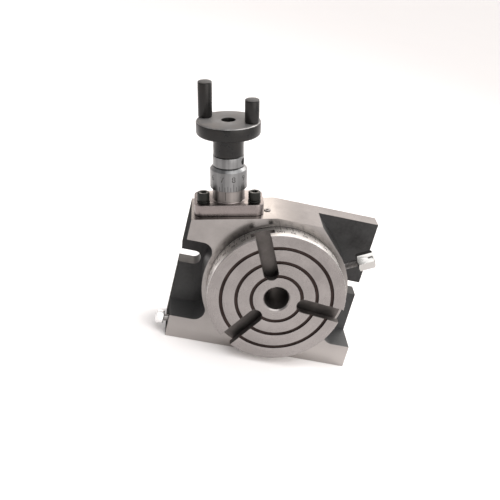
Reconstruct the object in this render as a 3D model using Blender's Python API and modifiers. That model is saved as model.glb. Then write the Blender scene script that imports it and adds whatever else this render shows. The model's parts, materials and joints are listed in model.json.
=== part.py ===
"""A 100 mm rotary table standing on its foot: cast body, T-slotted table, worm drive, dial and handwheel.

The frame is in metres with +Z up. The origin is the middle of the foot under the table's axis. The table
faces -Y, the body reaches from BODY_FRONT to BODY_BACK, and the worm leans WORM_LEAN off the vertical.
"""

import math

import bmesh
import bpy
from mathutils import Matrix, Vector

# Body. Heights and widths are measured from the table's axis.
AXIS_HEIGHT = 0.055
BODY_LEFT = -0.071
BODY_RIGHT = 0.068
BODY_TOP = 0.055
BODY_FRONT = -0.0196
BODY_BACK = 0.020
LUG_FRONT = 0.0068
FOOT_TOP = -0.0375
LEFT_RECESS_TOP = 0.0256
BOSS_RADIUS = 0.0536
BOSS_TANGENT = math.radians(44)
RECESS_FILLET = 0.008
LUG_SLOT_WIDTH = 0.0108
LUG_SLOT_REACH = 0.0156
GEAR_CHAMBER_RADIUS = 0.0295
GEAR_CHAMBER_BACK = -0.009

# Table, drum and spindle
TABLE_RADIUS = 0.050
TABLE_THICKNESS = 0.015
TABLE_FACE = 0.035
TABLE_CHAMFER = 0.0005
GROOVE_RADII = (0.0402, 0.0292, 0.0183)
GROOVE_WIDTH = 0.0025
GROOVE_DEPTH = 0.0012
DRUM_RADIUS = 0.0437
DRUM_BACK = 0.010
SPINDLE_BACK = -0.015
HUB_RADIUS = 0.0245
SPINDLE_RADIUS = 0.0147
BORE_MOUTH = 0.0089
BORE_BACK = 0.007
SLOT_ANGLES = (115, 235, 355)
SLOT_NECK = 0.0106
SLOT_HEAD = 0.017
SLOT_NECK_DEPTH = 0.0052
SLOT_DEPTH = 0.0105
SLOT_START = 0.0209

# Worm drive: 36 teeth, module 1.5, single-start right-hand worm
MODULE = 0.0015
TEETH = 36
WORM_PITCH_RADIUS = 0.006
WORM_LEAN = math.radians(13.22)
WHEEL_HALF_WIDTH = 0.006
WHEEL_SCREW_CIRCLE = 0.020
WHEEL_SCREW_HOLE = 0.0022
RING_SCREW_CIRCLE = 0.0109
RING_SCREW_HOLE = 0.0017
RING_THICKNESS = 0.004
RING_RADIUS = 0.0219
WORM_HALF_LENGTH = 0.015
SHAFT_RADIUS = 0.0054
SHAFT_TOP = 0.110
CORE_RADIUS = 0.0045
JOURNAL_RADIUS = 0.005
JOURNAL_END = -0.0300
THRUST_FACE = 0.0336
THRUST_COLLAR = (0.0082, 0.003)
BUSH_RADIUS = 0.0084
BUSH_ENDS = (-0.0295, -0.0185)
WORM_TUNNEL = (0.0087, -0.0315)

# Stations along the worm's axis, from the point nearest the table's axis
SEAT = 0.0562
FLANGE_TOP = 0.0644
SLEEVE_TOP = 0.0733
DIAL_TOP = 0.0895
COLLAR_TOP = 0.09725
HUB_TOP = 0.1126
WHEEL_TOP = 0.1223

FLANGE_SIZE = (0.0492, 0.0294)
FLANGE_CORNER = 0.006
SPIGOT_END = 0.035
SPIGOT_RADIUS = 0.011
INDEX_RADIUS = 0.0114
DIAL_RADIUS = 0.0131
COLLAR_RADIUS = 0.011
HANDWHEEL_HUB_RADIUS = 0.0108
HANDWHEEL_RADIUS = 0.0225
HANDWHEEL_BORE = 0.0057
HANDWHEEL_MOUTH = 0.0049
SLEEVE_BOLT_PLACE = (0.0181, -0.0068)
SLEEVE_BOLT_HOLE = 0.0028
SLEEVE_BOLT_HOLE_END = 0.0415
ADJUSTING_NUT = (0.0088, 0.0795)
DIAL_POCKET = (0.0096, 0.0800)
COLLAR_SCREW_HEIGHT = 0.0936
COLLAR_SCREW_TURN = math.radians(-25)
HUB_SCREW_HEIGHT = 0.105
OILER_PLACE = (0.0276, -0.0043)
OILER_HOLE = (0.0022, 0.0495)
OILER_BALL = (0.0011, 0.0551)
HANDLE_RADIUS = 0.0175
HANDLE_TURN = math.radians(-24.9)
GRIP_RADIUS = 0.00497
LONG_GRIP = 0.0239
SHORT_GRIP = 0.0151
HANDLE_PIN_RADIUS = 0.0025

# Clamp right of the table and lock in the foot's left end
CLAMP_ANGLE = math.radians(28.7)
CLAMP_DEPTH = -0.013
CLAMP_KNOB = (0.0631, 0.0757)
CLAMP_HEX_RADIUS = 0.00683
CLAMP_HEX_TURN = math.radians(19.2)
CLAMP_HOLE = 0.0032
CLAMP_PAD = (0.0029, 0.048)
CLAMP_STUD = (0.0027, 0.068)
LOCK_HEIGHT = 0.0112
LOCK_DEPTH = -0.013
LOCK_KNOB = (0.0743, 0.0805)
LOCK_BORE = 0.0042
LOCK_BORE_END = -0.0095
LOCK_COTTER_ENDS = (-0.0085, 0.0305)
LOCK_NECK = (0.0024, 0.0785)
LOCK_KNOB_RADIUS = 0.0048

GAP = 0.0003
FINE = 64
MEDIUM = 32
COARSE = 20

COLOURS = {
    "cast_iron": ((0.55, 0.53, 0.51), 0.40, 0.8),
    "table_iron": ((0.50, 0.47, 0.46), 0.32, 0.9),
    "steel": ((0.55, 0.55, 0.55), 0.30, 1.0),
    "bright_steel": ((0.80, 0.80, 0.79), 0.15, 1.0),
    "black_steel": ((0.03, 0.03, 0.03), 0.35, 0.6),
    "bronze": ((0.45, 0.30, 0.14), 0.35, 1.0),
    "brass": ((0.60, 0.46, 0.20), 0.30, 1.0),
}


def start_scene():
    """Clears the scene and adds the collections, the materials and the axes that the pieces hang on."""
    for old in list(bpy.data.objects):
        bpy.data.objects.remove(old)
    collections = {}
    for name in ("rotary_table_assembly", "cutters"):
        collections[name] = bpy.data.collections.new(name)
        bpy.context.scene.collection.children.link(collections[name])
    materials = {}
    for name, (colour, roughness, metallic) in COLOURS.items():
        material = bpy.data.materials.new(name)
        material.use_nodes = True
        shader = material.node_tree.nodes["Principled BSDF"]
        shader.inputs["Base Color"].default_value = (*colour, 1.0)
        shader.inputs["Roughness"].default_value = roughness
        shader.inputs["Metallic"].default_value = metallic
        material.diffuse_color = (*colour, 1.0)
        materials[name] = material
    return collections, materials


COLLECTIONS, MATERIALS = start_scene()
PARTS = COLLECTIONS["rotary_table_assembly"]
CUTTERS = COLLECTIONS["cutters"]


def axis(name, place, turn_about_x=0.0, turn_about_y=0.0):
    """An empty whose local Z is the axis of the pieces hung on it."""
    empty = bpy.data.objects.new(name, None)
    empty.location = place
    empty.rotation_euler = (turn_about_x, turn_about_y, 0.0)
    empty.empty_display_size = 0.01
    PARTS.objects.link(empty)
    return empty


SIDE = Vector((math.cos(WORM_LEAN), 0.0, math.sin(WORM_LEAN)))
CENTRE_DISTANCE = MODULE * TEETH / 2 + WORM_PITCH_RADIUS
AXIS_POINT = Vector((0.0, 0.0, AXIS_HEIGHT))

# The table axis points to -Y, with local X and Y across and up. The worm axis has local X towards the table.
TABLE = axis("table_axis", AXIS_POINT, turn_about_x=math.pi / 2)
WORM = axis("worm_axis", AXIS_POINT - CENTRE_DISTANCE * SIDE, turn_about_y=-WORM_LEAN)
CLAMP = axis("clamp_axis", (0.0, CLAMP_DEPTH, AXIS_HEIGHT), turn_about_y=math.pi / 2 - CLAMP_ANGLE)
LOCK = axis("lock_axis", (0.0, LOCK_DEPTH, LOCK_HEIGHT), turn_about_y=-math.pi / 2)


# Helpers ---------------------------------------------------------------------------------------------

def place(name, mesh, parent, material=None, offset=(0.0, 0.0, 0.0)):
    """An object on its axis; without a material it is a cutter."""
    item = bpy.data.objects.new(name, mesh)
    item.parent = parent
    item.location = offset
    if material is None:
        item.hide_render = True
        item.display_type = "WIRE"
        CUTTERS.objects.link(item)
    else:
        mesh.materials.append(MATERIALS[material])
        PARTS.objects.link(item)
    return item


def turned(name, profile, parent, material, steps=MEDIUM, offset=(0.0, 0.0, 0.0)):
    """A turned piece: the profile (radius, height) goes down the outer side, and closes if it is a ring."""
    mesh = bpy.data.meshes.new(name)
    points = [(radius, 0.0, height) for radius, height in profile]
    edges = [(index, index + 1) for index in range(len(points) - 1)]
    if profile[0][0] > 0.0 or profile[-1][0] > 0.0:
        edges.append((len(points) - 1, 0))
    mesh.from_pydata(points, edges, [])
    item = place(name, mesh, parent, material, offset)
    screw = item.modifiers.new("turn", "SCREW")
    screw.axis = "Z"
    screw.steps = steps
    screw.render_steps = steps
    screw.use_merge_vertices = True
    screw.merge_threshold = 0.00001
    screw.use_smooth_shade = False
    return item


def rod(name, radius, low, high, parent, steps=MEDIUM, centre=(0.0, 0.0), material=None, turn=0.0):
    """A plain round rod or drill from low to high along the axis."""
    mesh = bpy.data.meshes.new(name)
    shape = bmesh.new()
    bmesh.ops.create_cone(shape, cap_ends=True, segments=steps, radius1=radius, radius2=radius,
                          depth=high - low, matrix=Matrix.Rotation(turn, 4, "Z"))
    shape.to_mesh(mesh)
    shape.free()
    return place(name, mesh, parent, material, (centre[0], centre[1], (low + high) / 2))


def cross_rod(name, radius, start, end, parent, height, angle, steps=COARSE, material=None):
    """A rod square to the axis, from start to end away from it, at the given height and angle."""
    mesh = bpy.data.meshes.new(name)
    shape = bmesh.new()
    lay = Matrix.Rotation(angle, 4, "Z") @ Matrix.Rotation(math.pi / 2, 4, "Y")
    shift = Matrix.Translation((0.0, 0.0, (start + end) / 2))
    bmesh.ops.create_cone(shape, cap_ends=True, segments=steps, radius1=radius, radius2=radius,
                          depth=end - start, matrix=lay @ shift)
    shape.to_mesh(mesh)
    shape.free()
    return place(name, mesh, parent, material, (0.0, 0.0, height))


def plate(name, outline, low, high, parent, material=None):
    """A flat outline given depth along the axis: a 2D curve, then a welded mesh."""
    curve = bpy.data.curves.new(name, "CURVE")
    curve.dimensions = "2D"
    curve.fill_mode = "BOTH"
    curve.extrude = (high - low) / 2
    spline = curve.splines.new("POLY")
    spline.points.add(len(outline) - 1)
    for point, (x, y) in zip(spline.points, outline):
        point.co = (x, y, 0.0, 1.0)
    spline.use_cyclic_u = True
    draft = bpy.data.objects.new(name + "_outline", curve)
    PARTS.objects.link(draft)
    depsgraph = bpy.context.evaluated_depsgraph_get()
    mesh = bpy.data.meshes.new_from_object(draft.evaluated_get(depsgraph))
    bpy.data.objects.remove(draft)
    shape = bmesh.new()
    shape.from_mesh(mesh)
    bmesh.ops.remove_doubles(shape, verts=shape.verts, dist=0.00001)
    bmesh.ops.recalc_face_normals(shape, faces=shape.faces)
    shape.to_mesh(mesh)
    shape.free()
    mesh.name = name
    return place(name, mesh, parent, material, (0.0, 0.0, (low + high) / 2))


def combine(item, other, operation="DIFFERENCE"):
    """Cuts or joins with the exact solver."""
    step = item.modifiers.new(other.name, "BOOLEAN")
    step.operation = operation
    step.solver = "EXACT"
    step.object = other


def round_shading():
    """Smooth shading on every piece, with its edges kept sharp."""
    for item in PARTS.objects:
        if item.type == "MESH":
            item.data.shade_smooth()
            item.data.set_sharp_from_angle(angle=math.radians(35))


def arc(centre, radius, start, end, count):
    """Points on an arc, both ends included; angles in radians."""
    points = []
    for index in range(count + 1):
        angle = start + (end - start) * index / count
        points.append((centre[0] + radius * math.cos(angle), centre[1] + radius * math.sin(angle)))
    return points


def around(radius, angle):
    return (radius * math.cos(angle), radius * math.sin(angle))


# Body ------------------------------------------------------------------------------------------------

def seat_height(x):
    """Height of the slanted worm seat over the table's axis at a given x."""
    return (SEAT + math.sin(WORM_LEAN) * x) / math.cos(WORM_LEAN)


def body_outline():
    top_corner = (BODY_TOP * math.cos(WORM_LEAN) - SEAT) / math.sin(WORM_LEAN)
    foot = -AXIS_HEIGHT
    return [(BODY_LEFT, foot), (BODY_RIGHT, foot), (BODY_RIGHT, BODY_TOP), (top_corner, BODY_TOP),
            (BODY_LEFT, seat_height(BODY_LEFT))]


def fillet_centre(level, side):
    """Centre of the fillet between the boss and a level line above (+) or below (-) the fillet."""
    reach = BOSS_RADIUS + RECESS_FILLET
    return -math.sqrt(reach * reach - (level + side * RECESS_FILLET) ** 2), level + side * RECESS_FILLET


def left_recess_outline():
    """Open at the left end, rounded into the boss above and below."""
    low = fillet_centre(FOOT_TOP, 1)
    high = fillet_centre(LEFT_RECESS_TOP, -1)
    low_touch = math.atan2(low[1], low[0])
    high_touch = math.atan2(high[1], high[0])
    outside = BODY_LEFT - 0.002
    boss = arc((0.0, 0.0), BOSS_RADIUS, low_touch + 2 * math.pi, high_touch, 12)
    return ([(outside, FOOT_TOP)] + arc(low, RECESS_FILLET, -math.pi / 2, low_touch + math.pi, 6)
            + boss[1:-1] + arc(high, RECESS_FILLET, high_touch - math.pi, math.pi / 2, 6)
            + [(outside, LEFT_RECESS_TOP)])


def right_recess_outline():
    """Open at the right end and at the top; its wall leaves the boss along a tangent."""
    low_x, low_y = fillet_centre(FOOT_TOP, 1)
    low = (-low_x, low_y)
    low_touch = math.atan2(low[1], low[0])
    leave = around(BOSS_RADIUS, BOSS_TANGENT)
    above = BODY_TOP + 0.002
    run = (above - leave[1]) / math.cos(BOSS_TANGENT)
    outside = BODY_RIGHT + 0.002
    fillet = arc(low, RECESS_FILLET, 1.5 * math.pi, math.pi + low_touch, 6)
    boss = arc((0.0, 0.0), BOSS_RADIUS, low_touch, BOSS_TANGENT, 12)
    wall_top = (leave[0] - run * math.sin(BOSS_TANGENT), above)
    return [(outside, above), wall_top] + boss[::-1] + fillet[::-1][1:] + [(outside, FOOT_TOP)]


def lug_slot_outline(end, inwards):
    """A U-slot open at an end of the body; inwards is +1 at the left end and -1 at the right end."""
    radius = LUG_SLOT_WIDTH / 2
    centre = (end + inwards * (LUG_SLOT_REACH - radius), 0.0)
    outside = end - inwards * 0.002
    start = -math.pi / 2 if inwards > 0 else math.pi / 2
    nose = arc(centre, radius, start, start + math.pi, 10)
    return [(outside, -inwards * radius)] + nose + [(outside, inwards * radius)]


def base_casting():
    """The cast body, with its recesses, slots and bores. Local z is towards the table's face."""
    front, back, lug = -BODY_FRONT, -BODY_BACK, -LUG_FRONT
    beyond = 0.005
    body = plate("base_casting", body_outline(), back, front, TABLE, "cast_iron")
    cutters = [
        plate("left_recess", left_recess_outline(), lug, front + beyond, TABLE),
        plate("right_recess", right_recess_outline(), lug, front + beyond, TABLE),
        plate("left_lug_slot", lug_slot_outline(BODY_LEFT, 1), back - beyond, front, TABLE),
        plate("right_lug_slot", lug_slot_outline(BODY_RIGHT, -1), back - beyond, front, TABLE),
        rod("drum_cavity", DRUM_RADIUS + GAP, DRUM_BACK - 0.0004, front + beyond, TABLE, FINE),
        rod("gear_chamber", GEAR_CHAMBER_RADIUS, GEAR_CHAMBER_BACK, DRUM_BACK, TABLE, FINE),
        rod("bearing_bore", SPINDLE_RADIUS + GAP, back - beyond, 0.0, TABLE),
        rod("ring_counterbore", RING_RADIUS + 0.0004, back - beyond, SPINDLE_BACK, TABLE, FINE),
        rod("sleeve_bore", SPIGOT_RADIUS + GAP, SPIGOT_END - GAP, SEAT + beyond, WORM),
        rod("worm_tunnel", WORM_TUNNEL[0], WORM_TUNNEL[1], SPIGOT_END + 0.001, WORM),
        rod("oiler_hole", OILER_HOLE[0], OILER_HOLE[1], SEAT + beyond, WORM, COARSE, OILER_PLACE),
        rod("clamp_hole", CLAMP_HOLE, DRUM_RADIUS - 0.003, BOSS_RADIUS + beyond, CLAMP, COARSE),
        rod("lock_hole", LOCK_BORE, LOCK_BORE_END, -BODY_LEFT + 0.002, LOCK, COARSE),
    ]
    for side in (-1, 1):
        centre = (side * SLEEVE_BOLT_PLACE[0], SLEEVE_BOLT_PLACE[1])
        cutters.append(rod("bolt_hole", SLEEVE_BOLT_HOLE, SLEEVE_BOLT_HOLE_END, SEAT + beyond, WORM, COARSE,
                           centre))
    for cutter in cutters:
        combine(body, cutter)


# Table -----------------------------------------------------------------------------------------------

def table_profile():
    half = GROOVE_WIDTH / 2
    floor = TABLE_FACE - GROOVE_DEPTH
    profile = [(BORE_MOUTH + 0.001, TABLE_FACE)]
    for radius in reversed(GROOVE_RADII):
        profile += [(radius - half, TABLE_FACE), (radius - half * 0.7, floor),
                    (radius + half * 0.7, floor), (radius + half, TABLE_FACE)]
    under = TABLE_FACE - TABLE_THICKNESS
    profile += [(TABLE_RADIUS - TABLE_CHAMFER, TABLE_FACE), (TABLE_RADIUS, TABLE_FACE - TABLE_CHAMFER),
                (TABLE_RADIUS, under), (DRUM_RADIUS, under), (DRUM_RADIUS, DRUM_BACK),
                (HUB_RADIUS, DRUM_BACK), (HUB_RADIUS, WHEEL_HALF_WIDTH + GAP),
                (SPINDLE_RADIUS, WHEEL_HALF_WIDTH + GAP), (SPINDLE_RADIUS, SPINDLE_BACK),
                (BORE_BACK, SPINDLE_BACK), (BORE_BACK, 0.002), (BORE_MOUTH, TABLE_FACE - 0.001)]
    return profile


def slot_outline(angle, width):
    """A radial slot with a round inner end, open past the rim."""
    radius = width / 2
    turn = Matrix.Rotation(angle, 2)
    nose = arc((SLOT_START, 0.0), radius, math.pi / 2, 1.5 * math.pi, 12)
    outline = [(TABLE_RADIUS + 0.003, radius)] + nose + [(TABLE_RADIUS + 0.003, -radius)]
    return [tuple(turn @ Vector(point)) for point in outline]


def rotary_table():
    """Disc, drum and spindle in one piece, with T-slots and screw holes."""
    table = turned("rotary_table", table_profile(), TABLE, "table_iron", FINE)
    neck_floor = TABLE_FACE - SLOT_NECK_DEPTH - 0.0005
    head_top = TABLE_FACE - SLOT_NECK_DEPTH
    floor = TABLE_FACE - SLOT_DEPTH
    for degrees in SLOT_ANGLES:
        angle = math.radians(degrees)
        neck = slot_outline(angle, SLOT_NECK)
        head = slot_outline(angle, SLOT_HEAD)
        combine(table, plate("slot_neck", neck, neck_floor, TABLE_FACE + 0.005, TABLE))
        combine(table, plate("slot_head", head, floor, head_top, TABLE))
    for index in range(3):
        angle = math.radians(60 + 120 * index)
        wheel_hole = around(WHEEL_SCREW_CIRCLE, angle)
        ring_hole = around(RING_SCREW_CIRCLE, angle)
        combine(table, rod("wheel_screw_hole", WHEEL_SCREW_HOLE, 0.0, 0.015, TABLE, COARSE, wheel_hole))
        combine(table, rod("ring_screw_hole", RING_SCREW_HOLE, -0.020, -0.006, TABLE, 12, ring_hole))


def tooth_outline():
    """The gear's outline. Gap 0 faces the worm, which lies along local -X turned by the worm's lean."""
    pitch_radius = MODULE * TEETH / 2
    flank = math.tan(math.radians(20))
    thickness = 0.0021
    tip, root = pitch_radius + MODULE, pitch_radius - 0.0018
    tip_half = (thickness / 2 - MODULE * flank) / tip
    root_half = (thickness / 2 + 0.0018 * flank) / root
    outline = []
    for tooth in range(TEETH):
        middle = math.pi + WORM_LEAN + (tooth + 0.5) * 2 * math.pi / TEETH
        outline += [around(root, middle - root_half), around(tip, middle - tip_half),
                    around(tip, middle + tip_half), around(root, middle + root_half)]
    return outline


def worm_wheel():
    """36 teeth that lean by the worm's lead angle, screwed to the table's hub."""
    wheel = plate("worm_wheel", tooth_outline(), -WHEEL_HALF_WIDTH, WHEEL_HALF_WIDTH, TABLE, "bronze")
    lead_slope = MODULE / 2 / WORM_PITCH_RADIUS
    pitch_radius = MODULE * TEETH / 2
    for vertex in wheel.data.vertices:
        vertex.co = Matrix.Rotation(vertex.co.z * lead_slope / pitch_radius, 3, "Z") @ vertex.co
    combine(wheel, rod("wheel_bore", SPINDLE_RADIUS + GAP, -0.01, 0.01, TABLE))
    for index in range(3):
        centre = around(WHEEL_SCREW_CIRCLE, math.radians(60 + 120 * index))
        combine(wheel, rod("screw_hole", WHEEL_SCREW_HOLE, -0.01, 0.01, TABLE, COARSE, centre))
        combine(wheel, rod("screw_seat", 0.0039, -0.01, -0.0014, TABLE, COARSE, centre))
        cap_screw("wheel_screw_%d" % (index + 1), TABLE, centre, -0.0017, 0.0035, 0.0040, 0.0019, 0.0160, -1)


def cap_screw(name, parent, centre, under_head, head_radius, head_height, radius, length, up,
              socket=0.4, material="black_steel"):
    """A socket head screw. Its head stands on the up side (+1 or -1) of the height under_head."""
    head = under_head + up * head_height
    tip = under_head - up * length
    edge = head_radius * 0.1
    dip = head - up * head_height * 0.5
    hexagon = head_radius * socket
    profile = [(hexagon, head), (head_radius - edge, head), (head_radius, head - up * edge),
               (head_radius, under_head), (radius, under_head), (radius, tip), (0.0, tip)]
    profile = [(0.0, dip), (hexagon, dip)] + profile
    if up < 0:
        profile = profile[::-1]
    return turned(name, profile, parent, material, 18, (centre[0], centre[1], 0.0))


def retaining_ring():
    """Holds the spindle in the body from the back, with three low head screws."""
    front = SPINDLE_BACK - GAP
    back = front - RING_THICKNESS
    ring = turned("retaining_ring", [(BORE_BACK, front), (RING_RADIUS, front), (RING_RADIUS, back),
                                     (BORE_BACK, back)], TABLE, "steel", FINE)
    for index in range(3):
        centre = around(RING_SCREW_CIRCLE, math.radians(60 + 120 * index))
        combine(ring, rod("ring_hole", RING_SCREW_HOLE, back - 0.001, front + 0.001, TABLE, 12, centre))
        combine(ring, rod("ring_seat", 0.0029, back - 0.001, back + 0.0022, TABLE, COARSE, centre))
        cap_screw("ring_screw_%d" % (index + 1), TABLE, centre, back + 0.0019, 0.0026, 0.0018,
                  0.0014, 0.0100, -1)


# Worm and its sleeve ---------------------------------------------------------------------------------

def worm_thread():
    """The thread: a grid of rings whose radius follows one start, twelve rows and columns to a turn."""
    columns = 12
    pitch = math.pi * MODULE
    rows = int(2 * WORM_HALF_LENGTH / (pitch / columns))
    root, tip = WORM_PITCH_RADIUS - 0.0019, WORM_PITCH_RADIUS + MODULE
    shape = bmesh.new()
    rings = []
    for row in range(rows + 1):
        ring = []
        for column in range(columns):
            away = (row - rows // 2 - column) % columns
            away = min(away, columns - away)
            radius = tip if away <= 1 else root + (tip - root) * max(0.0, (4 - away) / 3)
            angle = column * 2 * math.pi / columns
            height = (row - rows // 2) * pitch / columns
            ring.append(shape.verts.new((radius * math.cos(angle), radius * math.sin(angle), height)))
        rings.append(ring)
    for low, high in zip(rings, rings[1:]):
        for column in range(columns):
            after = (column + 1) % columns
            shape.faces.new((low[column], low[after], high[after]))
            shape.faces.new((low[column], high[after], high[column]))
    shape.faces.new(rings[0][::-1])
    shape.faces.new(rings[-1])
    mesh = bpy.data.meshes.new("worm_thread")
    shape.to_mesh(mesh)
    shape.free()
    return place("worm_thread", mesh, WORM)


def worm_shaft():
    """Worm, lower journal, thrust collar and the long spindle that carries dial and handwheel."""
    collar, collar_height = THRUST_COLLAR
    shaft = turned("worm_shaft", [
        (0.0, SHAFT_TOP), (SHAFT_RADIUS - 0.0005, SHAFT_TOP), (SHAFT_RADIUS, SHAFT_TOP - 0.0005),
        (SHAFT_RADIUS, THRUST_FACE), (collar, THRUST_FACE), (collar, THRUST_FACE - collar_height),
        (SHAFT_RADIUS, THRUST_FACE - collar_height), (SHAFT_RADIUS, 0.0165), (CORE_RADIUS, 0.0155),
        (CORE_RADIUS, -0.0155), (JOURNAL_RADIUS, -0.0165), (JOURNAL_RADIUS, JOURNAL_END),
        (0.0, JOURNAL_END)], WORM, "steel", 24)
    combine(shaft, worm_thread(), "UNION")


def worm_bearings():
    """Lower bush, thrust washer above the worm, and the nut that takes up end play."""
    low, high = BUSH_ENDS
    journal_bore = JOURNAL_RADIUS + GAP
    turned("worm_end_bush", [(journal_bore, high), (BUSH_RADIUS, high), (BUSH_RADIUS, low),
                             (journal_bore, low)], WORM, "bronze")
    bore = SHAFT_RADIUS + GAP
    low, high = THRUST_FACE + GAP, SPIGOT_END - GAP
    turned("worm_thrust_washer", [(bore, high), (BUSH_RADIUS, high), (BUSH_RADIUS, low), (bore, low)],
           WORM, "bronze")
    nut, nut_top = ADJUSTING_NUT
    turned("adjusting_nut", [(bore, nut_top), (nut, nut_top), (nut, SLEEVE_TOP + GAP),
                             (bore, SLEEVE_TOP + GAP)], WORM, "steel", 24)


def rounded_rectangle(width, depth, corner):
    outline = []
    for quarter, (side_x, side_y) in enumerate(((1, 1), (-1, 1), (-1, -1), (1, -1))):
        centre = (side_x * (width / 2 - corner), side_y * (depth / 2 - corner))
        start = quarter * math.pi / 2
        outline += arc(centre, corner, start, start + math.pi / 2, 6)
    return outline


def worm_sleeve():
    """Flange, spigot and index sleeve in one piece, bolted to the slanted seat."""
    flange = rounded_rectangle(FLANGE_SIZE[0], FLANGE_SIZE[1], FLANGE_CORNER)
    sleeve = plate("worm_sleeve", flange, SEAT + GAP, FLANGE_TOP, WORM, "cast_iron")
    middle = (SEAT + FLANGE_TOP) / 2
    tube = turned("sleeve_tube", [(0.0, SLEEVE_TOP), (INDEX_RADIUS, SLEEVE_TOP), (INDEX_RADIUS, middle),
                                  (SPIGOT_RADIUS, middle), (SPIGOT_RADIUS, SPIGOT_END),
                                  (0.0, SPIGOT_END)], WORM, None)
    combine(sleeve, tube, "UNION")
    combine(sleeve, rod("sleeve_bore_inner", SHAFT_RADIUS + GAP, SPIGOT_END - 0.001, SLEEVE_TOP + 0.001,
                        WORM))
    for name, side in (("left", -1), ("right", 1)):
        centre = (side * SLEEVE_BOLT_PLACE[0], SLEEVE_BOLT_PLACE[1])
        combine(sleeve, rod("sleeve_bolt_hole", SLEEVE_BOLT_HOLE, SEAT - 0.001, FLANGE_TOP + 0.001, WORM,
                            COARSE, centre))
        low = FLANGE_TOP + GAP
        turned("sleeve_washer_" + name, [(SLEEVE_BOLT_HOLE, low + 0.0009), (0.0046, low + 0.0009),
                                         (0.0046, low), (SLEEVE_BOLT_HOLE, low)], WORM, "black_steel",
               COARSE, (centre[0], centre[1], 0.0))
        cap_screw("sleeve_bolt_" + name, WORM, centre, low + 0.0012, 0.00435, 0.0060, 0.0025, 0.0210, 1,
                  0.5)


def dial():
    """The graduated ring turns on the shaft against friction; a pocket under it hides the nut."""
    bore = SHAFT_RADIUS + GAP
    low = SLEEVE_TOP + GAP
    pocket, pocket_top = DIAL_POCKET
    turned("dial", [(bore, DIAL_TOP), (0.0115, DIAL_TOP), (DIAL_RADIUS, DIAL_TOP - 0.002),
                    (DIAL_RADIUS, low), (pocket, low), (pocket, pocket_top), (bore, pocket_top)], WORM,
           "steel", 40)


def dial_collar():
    """Plain collar above the dial, with a set screw in its radial hole."""
    bore = SHAFT_RADIUS + GAP
    low = DIAL_TOP + GAP
    height = COLLAR_SCREW_HEIGHT
    collar = turned("dial_collar", [(bore, COLLAR_TOP), (COLLAR_RADIUS, COLLAR_TOP), (COLLAR_RADIUS, low),
                                    (bore, low)], WORM, "steel")
    turn = COLLAR_SCREW_TURN
    combine(collar, cross_rod("collar_hole", 0.0024, 0.003, 0.015, WORM, height, turn))
    cross_rod("collar_set_screw", 0.0021, 0.0060, 0.0098, WORM, height, turn, 16, "black_steel")


# Handwheel -------------------------------------------------------------------------------------------

def handwheel():
    """Hub and disc in one piece; two handles stand on the disc, opposite each other."""
    low = COLLAR_TOP + GAP
    shoulder = SHAFT_TOP + GAP
    edge = 0.0012
    wheel = turned("handwheel", [
        (HANDWHEEL_BORE, shoulder), (HANDWHEEL_MOUTH, shoulder), (HANDWHEEL_MOUTH, WHEEL_TOP),
        (HANDWHEEL_RADIUS - edge, WHEEL_TOP), (HANDWHEEL_RADIUS, WHEEL_TOP - edge),
        (HANDWHEEL_RADIUS, HUB_TOP + edge),
        (HANDWHEEL_RADIUS - edge, HUB_TOP), (HANDWHEEL_HUB_RADIUS, HUB_TOP),
        (HANDWHEEL_HUB_RADIUS, low), (HANDWHEEL_BORE, low)], WORM, "black_steel", 40)
    combine(wheel, cross_rod("hub_screw_hole", 0.0022, 0.003, 0.015, WORM, HUB_SCREW_HEIGHT,
                             math.pi / 2))
    cross_rod("handwheel_set_screw", 0.0019, 0.0060, 0.0102, WORM, HUB_SCREW_HEIGHT, math.pi / 2, 16,
              "black_steel")
    for name, side, length in (("long", -1, LONG_GRIP), ("short", 1, SHORT_GRIP)):
        centre = around(side * HANDLE_RADIUS, HANDLE_TURN)
        combine(wheel, rod("pin_hole", HANDLE_PIN_RADIUS + GAP, HUB_TOP - 0.001, WHEEL_TOP + 0.001, WORM,
                           COARSE, centre))
        handle(name, centre, length)


def handle(name, centre, length):
    """A revolving grip on a pin with a low button head."""
    offset = (centre[0], centre[1], 0.0)
    low = WHEEL_TOP + GAP
    high = low + length
    bore = HANDLE_PIN_RADIUS + GAP
    turned(name + "_handle_grip", [(bore, high), (GRIP_RADIUS, high), (GRIP_RADIUS, low), (bore, low)],
           WORM, "black_steel", 24, offset)
    dome = high + GAP
    turned(name + "_handle_pin", [
        (0.0, dome + 0.0012), (0.0025, dome + 0.0011), (0.0041, dome + 0.0008), (0.0048, dome + 0.0004),
        (0.0049, dome), (HANDLE_PIN_RADIUS, dome), (HANDLE_PIN_RADIUS, HUB_TOP + 0.0005),
        (0.0, HUB_TOP + 0.0005)], WORM, "black_steel", 24, offset)


# Clamp and lock --------------------------------------------------------------------------------------

def clamp():
    """A brass pad on the drum, pushed by a stud with a hexagonal knob."""
    rod("clamp_pad", CLAMP_PAD[0], DRUM_RADIUS + GAP, CLAMP_PAD[1], CLAMP, COARSE, material="brass")
    rod("clamp_stud", CLAMP_STUD[0], CLAMP_PAD[1] + GAP, CLAMP_STUD[1], CLAMP, COARSE, material="steel")
    knob = rod("clamp_knob", CLAMP_HEX_RADIUS, CLAMP_KNOB[0], CLAMP_KNOB[1], CLAMP, 6,
               material="bright_steel", turn=CLAMP_HEX_TURN + math.pi / 2)
    combine(knob, rod("knob_bore", CLAMP_STUD[0] + GAP, CLAMP_KNOB[0] - 0.001, CLAMP_STUD[1] + 0.0004,
                      CLAMP, COARSE))
    facet = CLAMP_HEX_TURN + math.radians(210)
    combine(knob, cross_rod("pin_slot", 0.0008, 0.0035, 0.009, CLAMP, 0.0731, facet, 12))


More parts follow.
